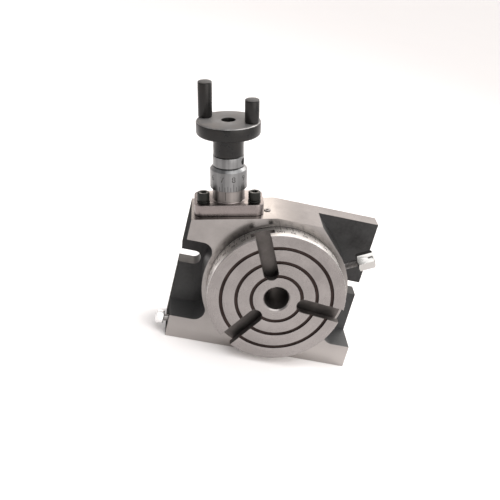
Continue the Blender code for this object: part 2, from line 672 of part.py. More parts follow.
def lock():
    """A cotter under the drum, pushed along the foot by a long screw with a small round knob."""
    inner, outer = LOCK_COTTER_ENDS
    cotter = rod("lock_cotter", LOCK_BORE - GAP, inner, outer, LOCK, COARSE, material="brass")
    combine(cotter, rod("drum_clearance", DRUM_RADIUS + 0.0004, DRUM_BACK - 0.0006, -BODY_FRONT, TABLE,
                        96))
    neck, neck_top = LOCK_NECK
    turned("lock_screw", [(0.0, neck_top), (neck, neck_top), (neck, 0.068), (LOCK_BORE - GAP, 0.068),
                          (LOCK_BORE - GAP, outer + GAP), (0.0, outer + GAP)], LOCK, "steel", COARSE)
    low, high = LOCK_KNOB
    edge = 0.0006
    radius = LOCK_KNOB_RADIUS
    turned("lock_knob", [(0.0, high), (radius - edge, high), (radius, high - edge), (radius, low + edge),
                         (radius - edge, low), (neck + GAP, low), (neck + GAP, neck_top + GAP),
                         (0.0, neck_top + GAP)], LOCK, "bright_steel", 24)


def oiler():
    """A press-in ball oiler on the worm seat."""
    offset = (OILER_PLACE[0], OILER_PLACE[1], 0.0)
    top = SEAT + 0.0006
    turned("oiler_body", [(0.0010, top), (0.0019, top), (0.0019, 0.0500), (0.0, 0.0500), (0.0, 0.0520),
                          (0.0014, 0.0520), (0.0014, 0.0550)], WORM, "brass", COARSE, offset)
    mesh = bpy.data.meshes.new("oiler_ball")
    shape = bmesh.new()
    bmesh.ops.create_uvsphere(shape, u_segments=12, v_segments=8, radius=OILER_BALL[0])
    shape.to_mesh(mesh)
    shape.free()
    place("oiler_ball", mesh, WORM, "steel", (OILER_PLACE[0], OILER_PLACE[1], OILER_BALL[1]))


base_casting()
rotary_table()
worm_wheel()
retaining_ring()
worm_shaft()
worm_bearings()
worm_sleeve()
dial()
dial_collar()
handwheel()
clamp()
lock()
oiler()
round_shading()
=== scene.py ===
"""Looks for the rotary table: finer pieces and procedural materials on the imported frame, light and camera.

All sizes are metres in the row frame. Turned pieces are built in the frame of their joint, with local Z as
the axis, so that their materials can read radius and height from the object's own coordinates.
"""

import json
import math

import bmesh
import bpy
from mathutils import Matrix, Vector


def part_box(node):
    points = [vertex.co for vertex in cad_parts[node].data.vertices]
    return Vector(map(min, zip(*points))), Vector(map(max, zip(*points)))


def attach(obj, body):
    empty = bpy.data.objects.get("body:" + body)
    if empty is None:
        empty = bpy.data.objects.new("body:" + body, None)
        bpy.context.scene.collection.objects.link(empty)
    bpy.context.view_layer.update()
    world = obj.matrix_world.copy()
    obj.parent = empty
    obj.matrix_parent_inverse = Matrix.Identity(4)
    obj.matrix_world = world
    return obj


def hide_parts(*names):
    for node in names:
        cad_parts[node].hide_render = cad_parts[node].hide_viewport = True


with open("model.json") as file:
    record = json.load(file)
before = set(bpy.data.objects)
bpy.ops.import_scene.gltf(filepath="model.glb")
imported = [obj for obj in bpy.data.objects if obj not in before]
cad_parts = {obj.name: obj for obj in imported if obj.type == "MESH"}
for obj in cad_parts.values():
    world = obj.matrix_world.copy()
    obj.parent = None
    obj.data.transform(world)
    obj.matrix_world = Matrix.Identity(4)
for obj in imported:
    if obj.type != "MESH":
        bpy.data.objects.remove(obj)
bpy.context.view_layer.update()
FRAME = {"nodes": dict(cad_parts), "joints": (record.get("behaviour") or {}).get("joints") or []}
NODES = FRAME["nodes"]
JOINTS = {joint["name"]: joint for joint in FRAME["joints"]}

# Body
AXIS_HEIGHT = JOINTS["table_spin"]["pos_m"][2]
BODY_LOW, BODY_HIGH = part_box("base_casting")
BODY_TOP = BODY_HIGH.z - AXIS_HEIGHT
BODY_FRONT = BODY_LOW.y
BODY_BACK = BODY_HIGH.y
LUG_FRONT = 0.0068
FOOT_TOP = -0.0375
LEFT_RECESS_TOP = 0.0256
BOSS_RADIUS = 0.0536
BOSS_TANGENT = math.radians(44)
RECESS_FILLET = 0.008
LUG_SLOT_WIDTH = 0.0108
LUG_SLOT_REACH = 0.0156
SEAT = 0.0562
CAVITY_FLOOR = 0.0096
CHAMBER_RADIUS = 0.0295
CHAMBER_LOW, CHAMBER_HIGH = -0.009, 0.010
RING_SEAT_RADIUS = 0.0223
SLEEVE_BORE_RADIUS = 0.0113
SLEEVE_BORE_END = 0.0347
TUNNEL_RADIUS = 0.0087
TUNNEL_LOW, TUNNEL_HIGH = -0.0315, 0.036
CLAMP_HOLE_RADIUS = 0.0032
LOCK_HOLE_RADIUS = 0.0042
LOCK_HOLE_END = -0.0095

# Table
TABLE_RADIUS = 0.050
TABLE_FACE = 0.035
GROOVE_RADII = (0.0402, 0.0292, 0.0183)
DRUM_RADIUS = 0.0437
SLOT_ANGLES = (115, 235, 355)
SLOT_NECK = 0.0106
SLOT_HEAD = 0.017
SLOT_START = 0.0209
SLOT_HEAD_LOW, SLOT_HEAD_HIGH = 0.0245, 0.0298
SLOT_NECK_LOW = 0.0293
SPINDLE_RADIUS = 0.0147
SPINDLE_END = -0.015
BORE_BACK = 0.007
BORE_MOUTH = 0.0099
GROOVE_DEPTH = 0.0012
GROOVE_HALF_FLOOR = 0.0009
GROOVE_HALF_MOUTH = 0.00125
RIM_WIDTH = 0.015
RIM_CHAMFER = 0.0004
DRUM_STEP_RADIUS = 0.0245
DRUM_LOW, DRUM_STEP = 0.010, 0.0063
SCREW_TURNS = [math.radians(60 + 120 * index) for index in range(3)]
WHEEL_SCREW_CIRCLE = 0.020
RING_SCREW_CIRCLE = 0.0109
RING_SCREW_HOLE = 0.0017
RING_RADIUS = 0.0219
RING_THICKNESS = 0.004

# Stations along the worm's axis
FLANGE_TOP = 0.0644
SLEEVE_TOP = 0.0733
DIAL_TOP = 0.0895
COLLAR_TOP = 0.09725
HUB_TOP = 0.1126
WHEEL_TOP = 0.1223
SHAFT_RADIUS = 0.0054
SHAFT_TOP = 0.110
FLANGE_WIDTH, FLANGE_DEPTH, FLANGE_CORNER = 0.0492, 0.0294, 0.006
SLEEVE_RADIUS = 0.011
SLEEVE_END = 0.035
INDEX_RADIUS = 0.0114
INDEX_END = 0.060
INDEX_ANGLE = math.radians(-103)
SLEEVE_BOLT_X, SLEEVE_BOLT_Y = 0.0181, -0.0068
SLEEVE_BOLT_HOLE = 0.0028
SLEEVE_BOLT_END = 0.0415
OILER_PLACE = (0.0276, -0.0043)
OILER_HOLE_RADIUS = 0.0022
OILER_HOLE_END = 0.0495
DIAL_RADIUS = 0.0131
DIAL_SHOULDER = 0.0117
DIAL_POCKET_RADIUS = 0.0096
DIAL_POCKET_TOP = 0.0800
DIAL_LINES = 40
COLLAR_RADIUS = 0.011
COLLAR_SCREW_HEIGHT = 0.0936
COLLAR_SCREW_TURN = math.radians(-25)
WHEEL_RADIUS = 0.0225
WHEEL_MOUTH = 0.0049
HUB_RADIUS = 0.0108
HUB_BORE = 0.0057
HUB_SCREW_HEIGHT = 0.105
HUB_SCREW_TURN = math.pi / 2
HANDLE_CIRCLE = 0.0175
HANDLE_TURN = math.radians(-24.9)
GRIP_RADIUS = 0.00497
GRIP_BORE = 0.0028
PIN_RADIUS = 0.0025

# Stations along the clamp's and the lock's axes
CLAMP_START = -0.060
KNOB_LOW, KNOB_HIGH = 0.0631, 0.0757
KNOB_RADIUS = 0.00683
KNOB_TURN = math.radians(19.2)
KNOB_BORE_END = 0.0684
TOMMY_HEIGHT = 0.0728
STUD_RADIUS = 0.0027
STUD_CORE = 0.00225
STUD_PITCH = 0.001
STUD_LOW, STUD_HIGH = 0.0483, 0.068
LOCK_START = -0.070
LOCK_LOW, LOCK_HIGH = 0.0743, 0.0805
LOCK_RADIUS = 0.0048

GAP = 0.0003
PAST = 0.005        # how far a cutter of the casting runs past its face
JUST_PAST = 0.001   # the same for the small pieces
TINY = 1e-5

# Camera and studio
LENS = 59.258
CAMERA_PLACE = (-0.113554, -0.547255, 0.325317)
CAMERA_RIGHT = (0.97037, -0.05354, 0.23563)
CAMERA_BACK = (-0.15009, -0.89777, 0.41411)
LIGHT_TARGET = (0.0, 0.0, 0.07)


def joint_frame(name, across):
    """The row-frame matrix of a joint: Z along its axis, X across it."""
    joint = JOINTS[name]
    z = Vector(joint["axis"]).normalized()
    x = Vector(across)
    x = (x - z * x.dot(z)).normalized()
    turn = Matrix((x, z.cross(x), z)).transposed().to_4x4()
    return Matrix.Translation(joint["pos_m"]) @ turn


TABLE = joint_frame("table_spin", (1, 0, 0))
WORM = joint_frame("worm_spin", (1, 0, 0))
CLAMP = joint_frame("clamp_turn", (0, 0, -1)) @ Matrix.Translation((0, 0, CLAMP_START))
LOCK = joint_frame("lock_turn", (0, 0, 1)) @ Matrix.Translation((0, 0, LOCK_START))


# Mesh helpers

def stand(name, data):
    """A new object in the scene."""
    item = bpy.data.objects.new(name, data)
    bpy.context.scene.collection.objects.link(item)
    return item


def show(name, mesh, frame, materials, body, stands_for=(), sharp=32.0):
    """Adds a finished mesh as a piece that rides on a body."""
    piece = stand(name, mesh)
    piece.matrix_world = frame
    kept = [face.material_index for face in mesh.polygons]
    mesh.materials.clear()
    for material in materials:
        mesh.materials.append(material)
    mesh.polygons.foreach_set("material_index", [min(index, len(materials) - 1) for index in kept])
    mesh.shade_smooth()
    mesh.set_sharp_from_angle(angle=math.radians(sharp))
    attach(piece, body)
    if stands_for:
        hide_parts(*stands_for)


def to_mesh(name, shape):
    mesh = bpy.data.meshes.new(name)
    bmesh.ops.recalc_face_normals(shape, faces=shape.faces)
    shape.to_mesh(mesh)
    shape.free()
    return mesh


def rounded(points, radius, closed=False, count=3):
    """Fillets the corners of a polyline. A point may carry its own fillet radius as a third number."""
    result = []
    total = len(points)
    for index, point in enumerate(points):
        here = Vector(point[:2])
        wanted = point[2] if len(point) > 2 else radius
        if wanted == 0 or (not closed and index in (0, total - 1)):
            result.append(tuple(here))
            continue
        before = Vector(points[index - 1][:2]) - here
        after = Vector(points[(index + 1) % total][:2]) - here
        half = before.angle(after, 0.0) / 2
        if half < 0.01 or half > math.pi / 2 - 0.03:
            result.append(tuple(here))
            continue
        reach = min(wanted / math.tan(half), before.length * 0.45, after.length * 0.45)
        size = reach * math.tan(half)
        start = here + before.normalized() * reach
        end = here + after.normalized() * reach
        centre = here + (before.normalized() + after.normalized()).normalized() * (size / math.sin(half))
        first, last = start - centre, end - centre
        sweep = first.angle_signed(last)
        for step in range(count + 1):
            angle = -sweep * step / count
            turned_to = Matrix.Rotation(angle, 2) @ first
            result.append(tuple(centre + turned_to))
    return result


def lathe_shape(profile, segments, wobble=None):
    """A turned shape from (radius, height) points; open ends lie on the axis, others close into a ring."""
    shape = bmesh.new()
    rings = []
    for radius, height in profile:
        if radius < 1e-7:
            rings.append([shape.verts.new((0.0, 0.0, height))])
            continue
        ring = []
        for index in range(segments):
            angle = 2 * math.pi * index / segments
            reach = radius + (wobble(index, radius, height) if wobble else 0.0)
            ring.append(shape.verts.new((reach * math.cos(angle), reach * math.sin(angle), height)))
        rings.append(ring)
    pairs = list(zip(rings, rings[1:]))
    if len(rings[0]) > 1 or len(rings[-1]) > 1:
        pairs.append((rings[-1], rings[0]))
    for one, two in pairs:
        for index in range(segments):
            after = (index + 1) % segments
            if len(one) == 1 and len(two) > 1:
                shape.faces.new((one[0], two[index], two[after]))
            elif len(two) == 1 and len(one) > 1:
                shape.faces.new((one[index], two[0], one[after]))
            elif len(one) > 1:
                shape.faces.new((one[index], two[index], two[after], one[after]))
    return shape


def lathe(name, profile, segments=96, fillet=0.0002, closed=False, wobble=None):
    return to_mesh(name, lathe_shape(rounded(profile, fillet, closed), segments, wobble))


def prism(name, outline, low, high, flare=0.0, material=0):
    """An outline given depth along Z; flare widens the last part above high, as a chamfered mouth."""
    shape = bmesh.new()
    levels = [(low, 0.0), (high, 0.0)]
    if flare:
        levels = [(low, 0.0), (high - flare, 0.0), (high + flare, 2 * flare)]
    rings = []
    total = len(outline)
    for height, grow in levels:
        ring = []
        for index in range(total):
            here = Vector(outline[index])
            before = (here - Vector(outline[index - 1])).normalized()
            after = (Vector(outline[(index + 1) % total]) - here).normalized()
            outward = Vector((before.y + after.y, -before.x - after.x))
            outward = outward / max(0.5, outward.length_squared / 2)
            ring.append(shape.verts.new((here.x + outward.x * grow, here.y + outward.y * grow, height)))
        rings.append(ring)
    for one, two in zip(rings, rings[1:]):
        for index in range(total):
            after = (index + 1) % total
            shape.faces.new((one[index], one[after], two[after], two[index]))
    shape.faces.new(rings[0][::-1])
    shape.faces.new(rings[-1])
    for face in shape.faces:
        face.material_index = material
    return to_mesh(name, shape)


def cylinder(name, radius, low, high, segments=48, centre=(0.0, 0.0), material=0):
    outline = arc(centre, radius, 0.0, 2 * math.pi, segments)[:-1]
    return prism(name, outline, low, high, material=material)


def lay(mesh, matrix):
    mesh.transform(matrix)
    return mesh


def radial(height, turn):
    """Points a piece's Z outward from the axis, at a height and a turn."""
    return Matrix.Translation((0, 0, height)) @ Matrix.Rotation(turn, 4, "Z") \
        @ Matrix.Rotation(math.pi / 2, 4, "Y")


def carve(mesh, cutters, operation="DIFFERENCE"):
    """Booleans a list of meshes out of a mesh and returns the result, with the cutters' material indices."""
    slots = 5
    target = stand("carved", mesh)
    made = [target]
    blank = [bpy.data.materials.new("blank") for _ in range(slots)]
    for item in [mesh] + list(cutters):
        kept = [face.material_index for face in item.polygons]
        item.materials.clear()
        for material in blank:
            item.materials.append(material)
        item.polygons.foreach_set("material_index", kept)
    for cutter in cutters:
        tool = stand("tool", cutter)
        made.append(tool)
        step = target.modifiers.new("step", "BOOLEAN")
        step.solver = "EXACT"
        step.operation = operation
        step.object = tool
    bpy.context.view_layer.update()
    depsgraph = bpy.context.evaluated_depsgraph_get()
    result = bpy.data.meshes.new_from_object(target.evaluated_get(depsgraph))
    for item in made:
        bpy.data.objects.remove(item)
    for material in blank:
        bpy.data.materials.remove(material)
    return result


def soften(mesh, width, segments=2, angle=35.0, concave=0.0, where=None):
    """Rounds a mesh's sharp edges: width on outer corners, concave on inner ones."""
    shape = bmesh.new()
    shape.from_mesh(mesh)
    bmesh.ops.remove_doubles(shape, verts=shape.verts, dist=0.000004)
    bmesh.ops.dissolve_limit(shape, angle_limit=math.radians(0.5), verts=shape.verts, edges=shape.edges,
                             delimit={"MATERIAL"})
    for inner, size, parts in ((True, concave, 4), (False, width, segments)):
        if size <= 0:
            continue
        chosen = []
        for edge in shape.edges:
            if len(edge.link_faces) != 2:
                continue
            turn = edge.calc_face_angle_signed(0.0)
            if abs(turn) < math.radians(angle) or (turn < 0) != inner:
                continue
            if where is None or where(edge, inner):
                chosen.append(edge)
        if chosen:
            bmesh.ops.bevel(shape, geom=chosen, offset=size, segments=parts, profile=0.5, affect="EDGES",
                            clamp_overlap=True, material=-1)
    shape.to_mesh(mesh)
    shape.free()
    return mesh


def arc(centre, radius, start, end, count):
    return [(centre[0] + radius * math.cos(start + (end - start) * index / count),
             centre[1] + radius * math.sin(start + (end - start) * index / count))
            for index in range(count + 1)]


def around(radius, angle):
    return (radius * math.cos(angle), radius * math.sin(angle))


# Materials

RING_DRIFT = 0.0006                # how far a turned ring's pattern drifts in one radian
MARK_DEPTH = 0.00004               # metres of bump for tool marks
LUMP_DEPTH = 0.0003                # metres of bump for the casting's skin under enamel
GROUND_GRAIN = (260.0, 5200.0, 5200.0)
MILLED_GRAIN = (900.0, 3600.0, 900.0)
SLOT_GRAIN = (1500.0, 4200.0, 1500.0)
# Tone of the dust on the enamel; also the lighter tone of the painted light low in the recesses.
DUST_AND_PAINTED_LIGHT = (0.05, 0.05, 0.05)
RIM_SHADE_LOW, RIM_SHADE_HIGH = 0.012, 0.034   # heights between which the painted shade ring beside the table's rim fades in


def scaled(colour, factor):
    return tuple(channel * factor for channel in colour)


def set_input(material, name, value):
    material.node_tree.nodes["Principled BSDF"].inputs[name].default_value = value


def node(tree, kind, **values):
    made = tree.nodes.new(kind)
    for name, value in values.items():
        setattr(made, name, value)
    return made


def split_xyz(tree, vector):
    made = node(tree, "ShaderNodeSeparateXYZ")
    tree.links.new(vector, made.inputs[0])
    return made.outputs


def noise(tree, vector, scale, detail, rough):
    made = node(tree, "ShaderNodeTexNoise")
    made.inputs["Scale"].default_value = scale
    made.inputs["Detail"].default_value = detail
    made.inputs["Roughness"].default_value = rough
    tree.links.new(vector, made.inputs["Vector"])
    return made.outputs["Fac"]


def spread(tree, value, low, high, to_low=0.0, to_high=1.0):
    made = node(tree, "ShaderNodeMapRange")
    tree.links.new(value, made.inputs["Value"])
    for name, number in (("From Min", low), ("From Max", high), ("To Min", to_low), ("To Max", to_high)):
        made.inputs[name].default_value = number
    return made.outputs["Result"]


def math_node(tree, operation, first, second=0.0):
    made = node(tree, "ShaderNodeMath", operation=operation)
    for index, value in enumerate((first, second)):
        if isinstance(value, (int, float)):
            made.inputs[index].default_value = value
        else:
            tree.links.new(value, made.inputs[index])
    return made.outputs[0]


def mix_colour(tree, factor, first, second):
    made = node(tree, "ShaderNodeMix", data_type="RGBA")
    tree.links.new(factor, made.inputs["Factor"])
    for name, value in (("A", first), ("B", second)):
        socket = [item for item in made.inputs if item.name == name and item.type == "RGBA"][0]
        if isinstance(value, tuple):
            socket.default_value = (*value, 1.0)
        else:
            tree.links.new(value, socket)
    return [item for item in made.outputs if item.type == "RGBA"][0]


def bump(tree, height, strength, distance):
    made = node(tree, "ShaderNodeBump")
    made.inputs["Strength"].default_value = strength
    made.inputs["Distance"].default_value = distance
    tree.links.new(height, made.inputs["Height"])
    return made.outputs["Normal"]


def axis_distance(tree, x, y):
    square_x = math_node(tree, "MULTIPLY", x, x)
    square_y = math_node(tree, "MULTIPLY", y, y)
    return math_node(tree, "SQRT", math_node(tree, "ADD", square_x, square_y))


def start_material(name):
    material = bpy.data.materials.new(name)
    material.use_nodes = True
    tree = material.node_tree
    shader = tree.nodes["Principled BSDF"]
    where = node(tree, "ShaderNodeTexCoord").outputs["Object"]
    return material, tree, shader, where


def turned_vector(tree, where):
    """Radius and height instead of X, Y, Z, so that noise becomes rings: the marks a lathe tool leaves."""
    x, y, z = split_xyz(tree, where)
    radius = axis_distance(tree, x, y)
    angle = math_node(tree, "ARCTAN2", y, x)
    joined = node(tree, "ShaderNodeCombineXYZ")
    for index, value in enumerate((radius, z, math_node(tree, "MULTIPLY", angle, RING_DRIFT))):
        tree.links.new(value, joined.inputs[index])
    return joined.outputs[0]


def stretched_vector(tree, where, scale):
    made = node(tree, "ShaderNodeMapping")
    made.inputs["Scale"].default_value = scale
    tree.links.new(where, made.inputs["Vector"])
    return made.outputs["Vector"]


def metal(name, colour, rough, marks="turned", fine=2600.0, mark_bump=0.25, stain=0.12, specks=0.0,
          scale=(1.0, 1.0, 1.0), reflection_bands=0.0, painted_low_light=None, rim_shade=None):
    """Machined metal: tool marks, soft stains in colour and gloss, and pores where asked. reflection_bands
    are
    painted reflections: lighter and darker stripes along a polished round. painted_low_light is (height,
    blend, gain), painted light that makes the part lower down lighter, and rim_shade is (inner, outer, gain),
    a painted shade ring round the upper half of the frame's Z."""
    material, tree, shader, where = start_material(name)
    if marks == "turned":
        vector = turned_vector(tree, where)
    else:
        vector = stretched_vector(tree, where, scale)
    marks_fine = noise(tree, vector, fine, 2.0, 0.7)
    marks_wide = noise(tree, vector, fine * 0.17, 2.0, 0.6)
    blotch = noise(tree, where, 60.0, 4.0, 0.62)
    grit = noise(tree, where, 900.0, 3.0, 0.7)
    both = math_node(tree, "ADD", marks_fine, math_node(tree, "MULTIPLY", marks_wide, 0.8))
    both = math_node(tree, "ADD", both, math_node(tree, "MULTIPLY", grit, 0.35))
    light = tuple(min(1.0, channel) for channel in scaled(colour, 1.0 + stain))
    tone = mix_colour(tree, spread(tree, blotch, 0.35, 0.65), scaled(colour, 1.0 - 2.2 * stain), light)
    streak = spread(tree, marks_wide, 0.3, 0.7, 0.0, 0.35)
    tone = mix_colour(tree, streak, tone, scaled(colour, 1.0 - stain))
    if specks:
        pores = spread(tree, noise(tree, where, 1500.0, 2.0, 0.5), 0.66, 0.74, 0.0, specks)
        tone = mix_colour(tree, pores, tone, scaled(colour, 0.35))
    # Painted reflections: broad lighter and darker stripes along the axis, standing for the surround's
    # reflections in a polished round.
    if reflection_bands:
        unit = node(tree, "ShaderNodeVectorMath", operation="NORMALIZE")
        tree.links.new(stretched_vector(tree, where, (1.0, 1.0, 0.02)), unit.inputs[0])
        reflection_stripe = spread(tree, noise(tree, unit.outputs["Vector"], 2.1, 2.0, 0.6), 0.36, 0.64)
        tone = mix_colour(tree, math_node(tree, "MULTIPLY", reflection_stripe, reflection_bands), tone, scaled(colour, 1.9))
    # Painted light: the part below the given height is made lighter by the gain.
    if painted_low_light:
        height, blend, gain = painted_low_light
        share = spread(tree, split_xyz(tree, where)[1], height - blend, height + blend, 1.0, 0.0)
        tone = mix_colour(tree, share, tone, scaled(colour, gain))
    # Painted shade: a darker ring between two radii, fading in over the upper half, standing for the shadow
    # and dark reflection of the table's rim.
    if rim_shade:
        inner, outer, gain = rim_shade
        x, y, _ = split_xyz(tree, where)
        share = math_node(tree, "MULTIPLY", spread(tree, axis_distance(tree, x, y), inner, outer, 1.0, 0.0),
                          spread(tree, y, RIM_SHADE_LOW, RIM_SHADE_HIGH))
        tone = mix_colour(tree, share, tone, scaled(colour, gain))
    tree.links.new(tone, shader.inputs["Base Color"])
    gloss = math_node(tree, "ADD", spread(tree, blotch, 0.3, 0.7, rough * 0.82, rough * 1.12),
                      spread(tree, marks_fine, 0.3, 0.7, 0.0, rough * 0.18))
    tree.links.new(gloss, shader.inputs["Roughness"])
    shader.inputs["Metallic"].default_value = 1.0
    tree.links.new(bump(tree, both, mark_bump, MARK_DEPTH), shader.inputs["Normal"])
    return material


def paint(name, colour, rough, texture=0.5, painted_light_low=False):
    """Enamel on rough casting: a lumpy skin with dust in its hollows, and painted light low down if
    painted_light_low: a lighter tone towards the foot.
    """
    material, tree, shader, where = start_material(name)
    lumps = noise(tree, where, 420.0, 4.0, 0.6)
    skin = noise(tree, where, 2200.0, 2.0, 0.5)
    cloud = noise(tree, where, 45.0, 3.0, 0.6)
    tone = mix_colour(tree, spread(tree, lumps, 0.35, 0.7), scaled(colour, 0.72),
                      scaled(colour, 1.25))
    tone = mix_colour(tree, spread(tree, cloud, 0.45, 0.75, 0.0, 0.5), tone, DUST_AND_PAINTED_LIGHT)
    # Painted light: the enamel is mixed towards the lighter dust tone going down to the foot, lifting the
    # shade low in the recesses.
    if painted_light_low:
        y = split_xyz(tree, where)[1]
        tone = mix_colour(tree, spread(tree, y, 0.0, FOOT_TOP + 0.0015, 0.0, 0.75), tone, DUST_AND_PAINTED_LIGHT)
    tree.links.new(tone, shader.inputs["Base Color"])
    tree.links.new(spread(tree, cloud, 0.3, 0.7, rough * 0.8, rough * 1.2), shader.inputs["Roughness"])
    height = math_node(tree, "ADD", lumps, math_node(tree, "MULTIPLY", skin, 0.25))
    tree.links.new(bump(tree, height, texture, LUMP_DEPTH), shader.inputs["Normal"])
    return material


def oxide(name, colour, rough):
    """Blackened steel: turned marks under a thin oxide that is browner and duller in patches."""
    material, tree, shader, where = start_material(name)
    marks_fine = noise(tree, turned_vector(tree, where), 2400.0, 2.0, 0.6)
    cloud = noise(tree, where, 110.0, 4.0, 0.6)
    grain = noise(tree, where, 1800.0, 2.0, 0.6)
    tone = mix_colour(tree, spread(tree, cloud, 0.35, 0.7), colour,
                      tuple(channel * factor for channel, factor in zip(colour, (1.5, 1.35, 1.25))))
    tone = mix_colour(tree, spread(tree, marks_fine, 0.4, 0.7, 0.0, 0.3), tone, scaled(colour, 1.8))
    tree.links.new(tone, shader.inputs["Base Color"])
    tree.links.new(spread(tree, cloud, 0.3, 0.7, rough * 0.85, rough * 1.2), shader.inputs["Roughness"])
    shader.inputs["Metallic"].default_value = 0.55
    both = math_node(tree, "ADD", marks_fine, math_node(tree, "MULTIPLY", grain, 0.4))
    tree.links.new(bump(tree, both, 0.2, MARK_DEPTH), shader.inputs["Normal"])
    return material


def make_materials():
    """Every finish, by name; a metal's numbers are roughness, marks, fineness, bump, stain, specks, grain."""
    made = {
        # The ground iron carries painted light on the foot and a painted shade ring round the table's rim.
        "ground": metal("ground_iron", (0.275, 0.258, 0.248), 0.18, "ground", 1.0, 0.22, 0.07, 0.30,
                        GROUND_GRAIN, painted_low_light=(-0.036, 0.010, 1.34), rim_shade=(0.0515, 0.0565, 0.45)),
        # The table iron carries painted light on its lower part.
        "table": metal("table_iron", (0.252, 0.234, 0.227), 0.26, "turned", 2300.0, 0.34, 0.08, 0.5,
                       painted_low_light=(-0.020, 0.045, 1.25)),
        # The rim is polished, and its colour is also made far lighter than the table iron's as painted light.
        "rim": metal("polished_and_lit_rim", (0.84, 0.81, 0.785), 0.33, "turned", 2300.0, 0.2, 0.05, 0.35),
        # Lighter edge finish: partly wear, partly a painted highlight.
        "edge": metal("rubbed_and_highlit_edge", (0.62, 0.60, 0.585), 0.32, "ground", 1.0, 0.2, 0.10, 0.2, MILLED_GRAIN),
        "lug_cut": metal("milled_slot", (0.050, 0.049, 0.048), 0.42, "ground", 1.0, 0.3, 0.12, 0.2,
                         MILLED_GRAIN),
        "machined": metal("machined_iron", (0.20, 0.195, 0.19), 0.42, "ground", 1.0, 0.3, 0.12, 0.2,
                          MILLED_GRAIN),
        "slot_iron": metal("slot_iron", (0.130, 0.118, 0.112), 0.46, "ground", 1.0, 0.3, 0.16, 0.2,
                           SLOT_GRAIN),
        "groove": metal("groove_iron", (0.046, 0.034, 0.031), 0.5, "turned", 2600.0, 0.3, 0.2),
        # The recess enamel carries painted light low down.
        "paint": paint("recess_enamel", (0.015, 0.0143, 0.0143), 0.42, painted_light_low=True),
        "end_paint": paint("end_enamel", (0.020, 0.020, 0.019), 0.9, 0.8),
        # The dial and the sleeve carry painted reflection stripes.
        "satin": metal("satin_steel", (0.138, 0.138, 0.139), 0.34, "turned", 3000.0, 0.28, 0.06, reflection_bands=0.75),
        "sleeve": metal("sleeve_steel", (0.170, 0.155, 0.148), 0.44, "turned", 2400.0, 0.25, 0.08, reflection_bands=0.5),
        "flange": metal("flange_steel", (0.225, 0.197, 0.190), 0.26, "turned", 2400.0, 0.25, 0.08, 0.15),
        "steel": metal("turned_steel", (0.24, 0.23, 0.225), 0.30, "turned", 2600.0, 0.3, 0.1),
        "chrome": metal("plated_steel", (0.43, 0.42, 0.405), 0.22, "turned", 2600.0, 0.10, 0.03),
        "pale": metal("pale_nickel", (0.90, 0.895, 0.89), 0.34, "turned", 2600.0, 0.05, 0.02),
        "black": oxide("black_oxide", (0.016, 0.016, 0.016), 0.30),
        "black_head": oxide("black_screw", (0.012, 0.013, 0.012), 0.32),
        "black_end": oxide("dull_black", (0.105, 0.105, 0.105), 0.60),
        "pin_end": oxide("dull_pin", (0.066, 0.066, 0.066), 0.60),
        # Handwheel top edge, lighter partly from wear and partly as a painted highlight.
        "worn_and_highlit_edge": metal("worn_and_highlit_edge", (0.30, 0.29, 0.285), 0.36, "turned", 2400.0, 0.2, 0.40),
        "bronze": metal("bronze", (0.42, 0.27, 0.12), 0.34, "turned", 2400.0, 0.3, 0.12),
        "brass": metal("brass", (0.50, 0.37, 0.16), 0.28, "turned", 2400.0, 0.25, 0.1),
        "ink": oxide("engraving_fill", (0.014, 0.013, 0.013), 0.6),
        "dial_ink": oxide("dial_fill", (0.030, 0.030, 0.030), 0.5),
    }
    for name in ("paint", "black", "black_head", "black_end", "pin_end", "ink", "dial_ink"):
        set_input(made[name], "Specular IOR Level", 0.30)
    for name in ("black_end", "pin_end"):
        set_input(made[name], "Metallic", 0.1)
    set_input(made["end_paint"], "Specular IOR Level", 0.04)
    return made


M = make_materials()


# Body

LEAN = math.asin(-JOINTS["worm_spin"]["axis"][0])


def seat_height(x):
    return (SEAT + math.sin(LEAN) * x) / math.cos(LEAN)


def fillet_centre(level, side):
    reach = BOSS_RADIUS + RECESS_FILLET
    return -math.sqrt(reach * reach - (level + side * RECESS_FILLET) ** 2), level + side * RECESS_FILLET


def left_recess_outline():
    low = fillet_centre(FOOT_TOP, 1)
    high = fillet_centre(LEFT_RECESS_TOP, -1)
    low_touch = math.atan2(low[1], low[0])
    high_touch = math.atan2(high[1], high[0])
    outside = BODY_LOW.x - 2 * JUST_PAST
    boss = arc((0.0, 0.0), BOSS_RADIUS, low_touch + 2 * math.pi, high_touch, 44)
    return ([(outside, FOOT_TOP)] + arc(low, RECESS_FILLET, -math.pi / 2, low_touch + math.pi, 14)
            + boss[1:-1] + arc(high, RECESS_FILLET, high_touch - math.pi, math.pi / 2, 14)
            + [(outside, LEFT_RECESS_TOP)])


def right_recess_outline():
    low_x, low_y = fillet_centre(FOOT_TOP, 1)
    low = (-low_x, low_y)
    low_touch = math.atan2(low[1], low[0])
    leave = around(BOSS_RADIUS, BOSS_TANGENT)
    above = BODY_TOP + 2 * JUST_PAST
    run = (above - leave[1]) / math.cos(BOSS_TANGENT)
    outside = BODY_HIGH.x + 2 * JUST_PAST
    fillet = arc(low, RECESS_FILLET, 1.5 * math.pi, math.pi + low_touch, 14)
    boss = arc((0.0, 0.0), BOSS_RADIUS, low_touch, BOSS_TANGENT, 44)
    wall_top = (leave[0] - run * math.sin(BOSS_TANGENT), above)
    return [(outside, above), wall_top] + boss[::-1] + fillet[::-1][1:] + [(outside, FOOT_TOP)]


def lug_slot_outline(end, inwards):
    radius = LUG_SLOT_WIDTH / 2
    centre = (end + inwards * (LUG_SLOT_REACH - radius), 0.0)
    outside = end - inwards * 2 * JUST_PAST
    start = -math.pi / 2 if inwards > 0 else math.pi / 2
    nose = arc(centre, radius, start, start + math.pi, 28)
    return [(outside, -inwards * radius)] + nose + [(outside, inwards * radius)]


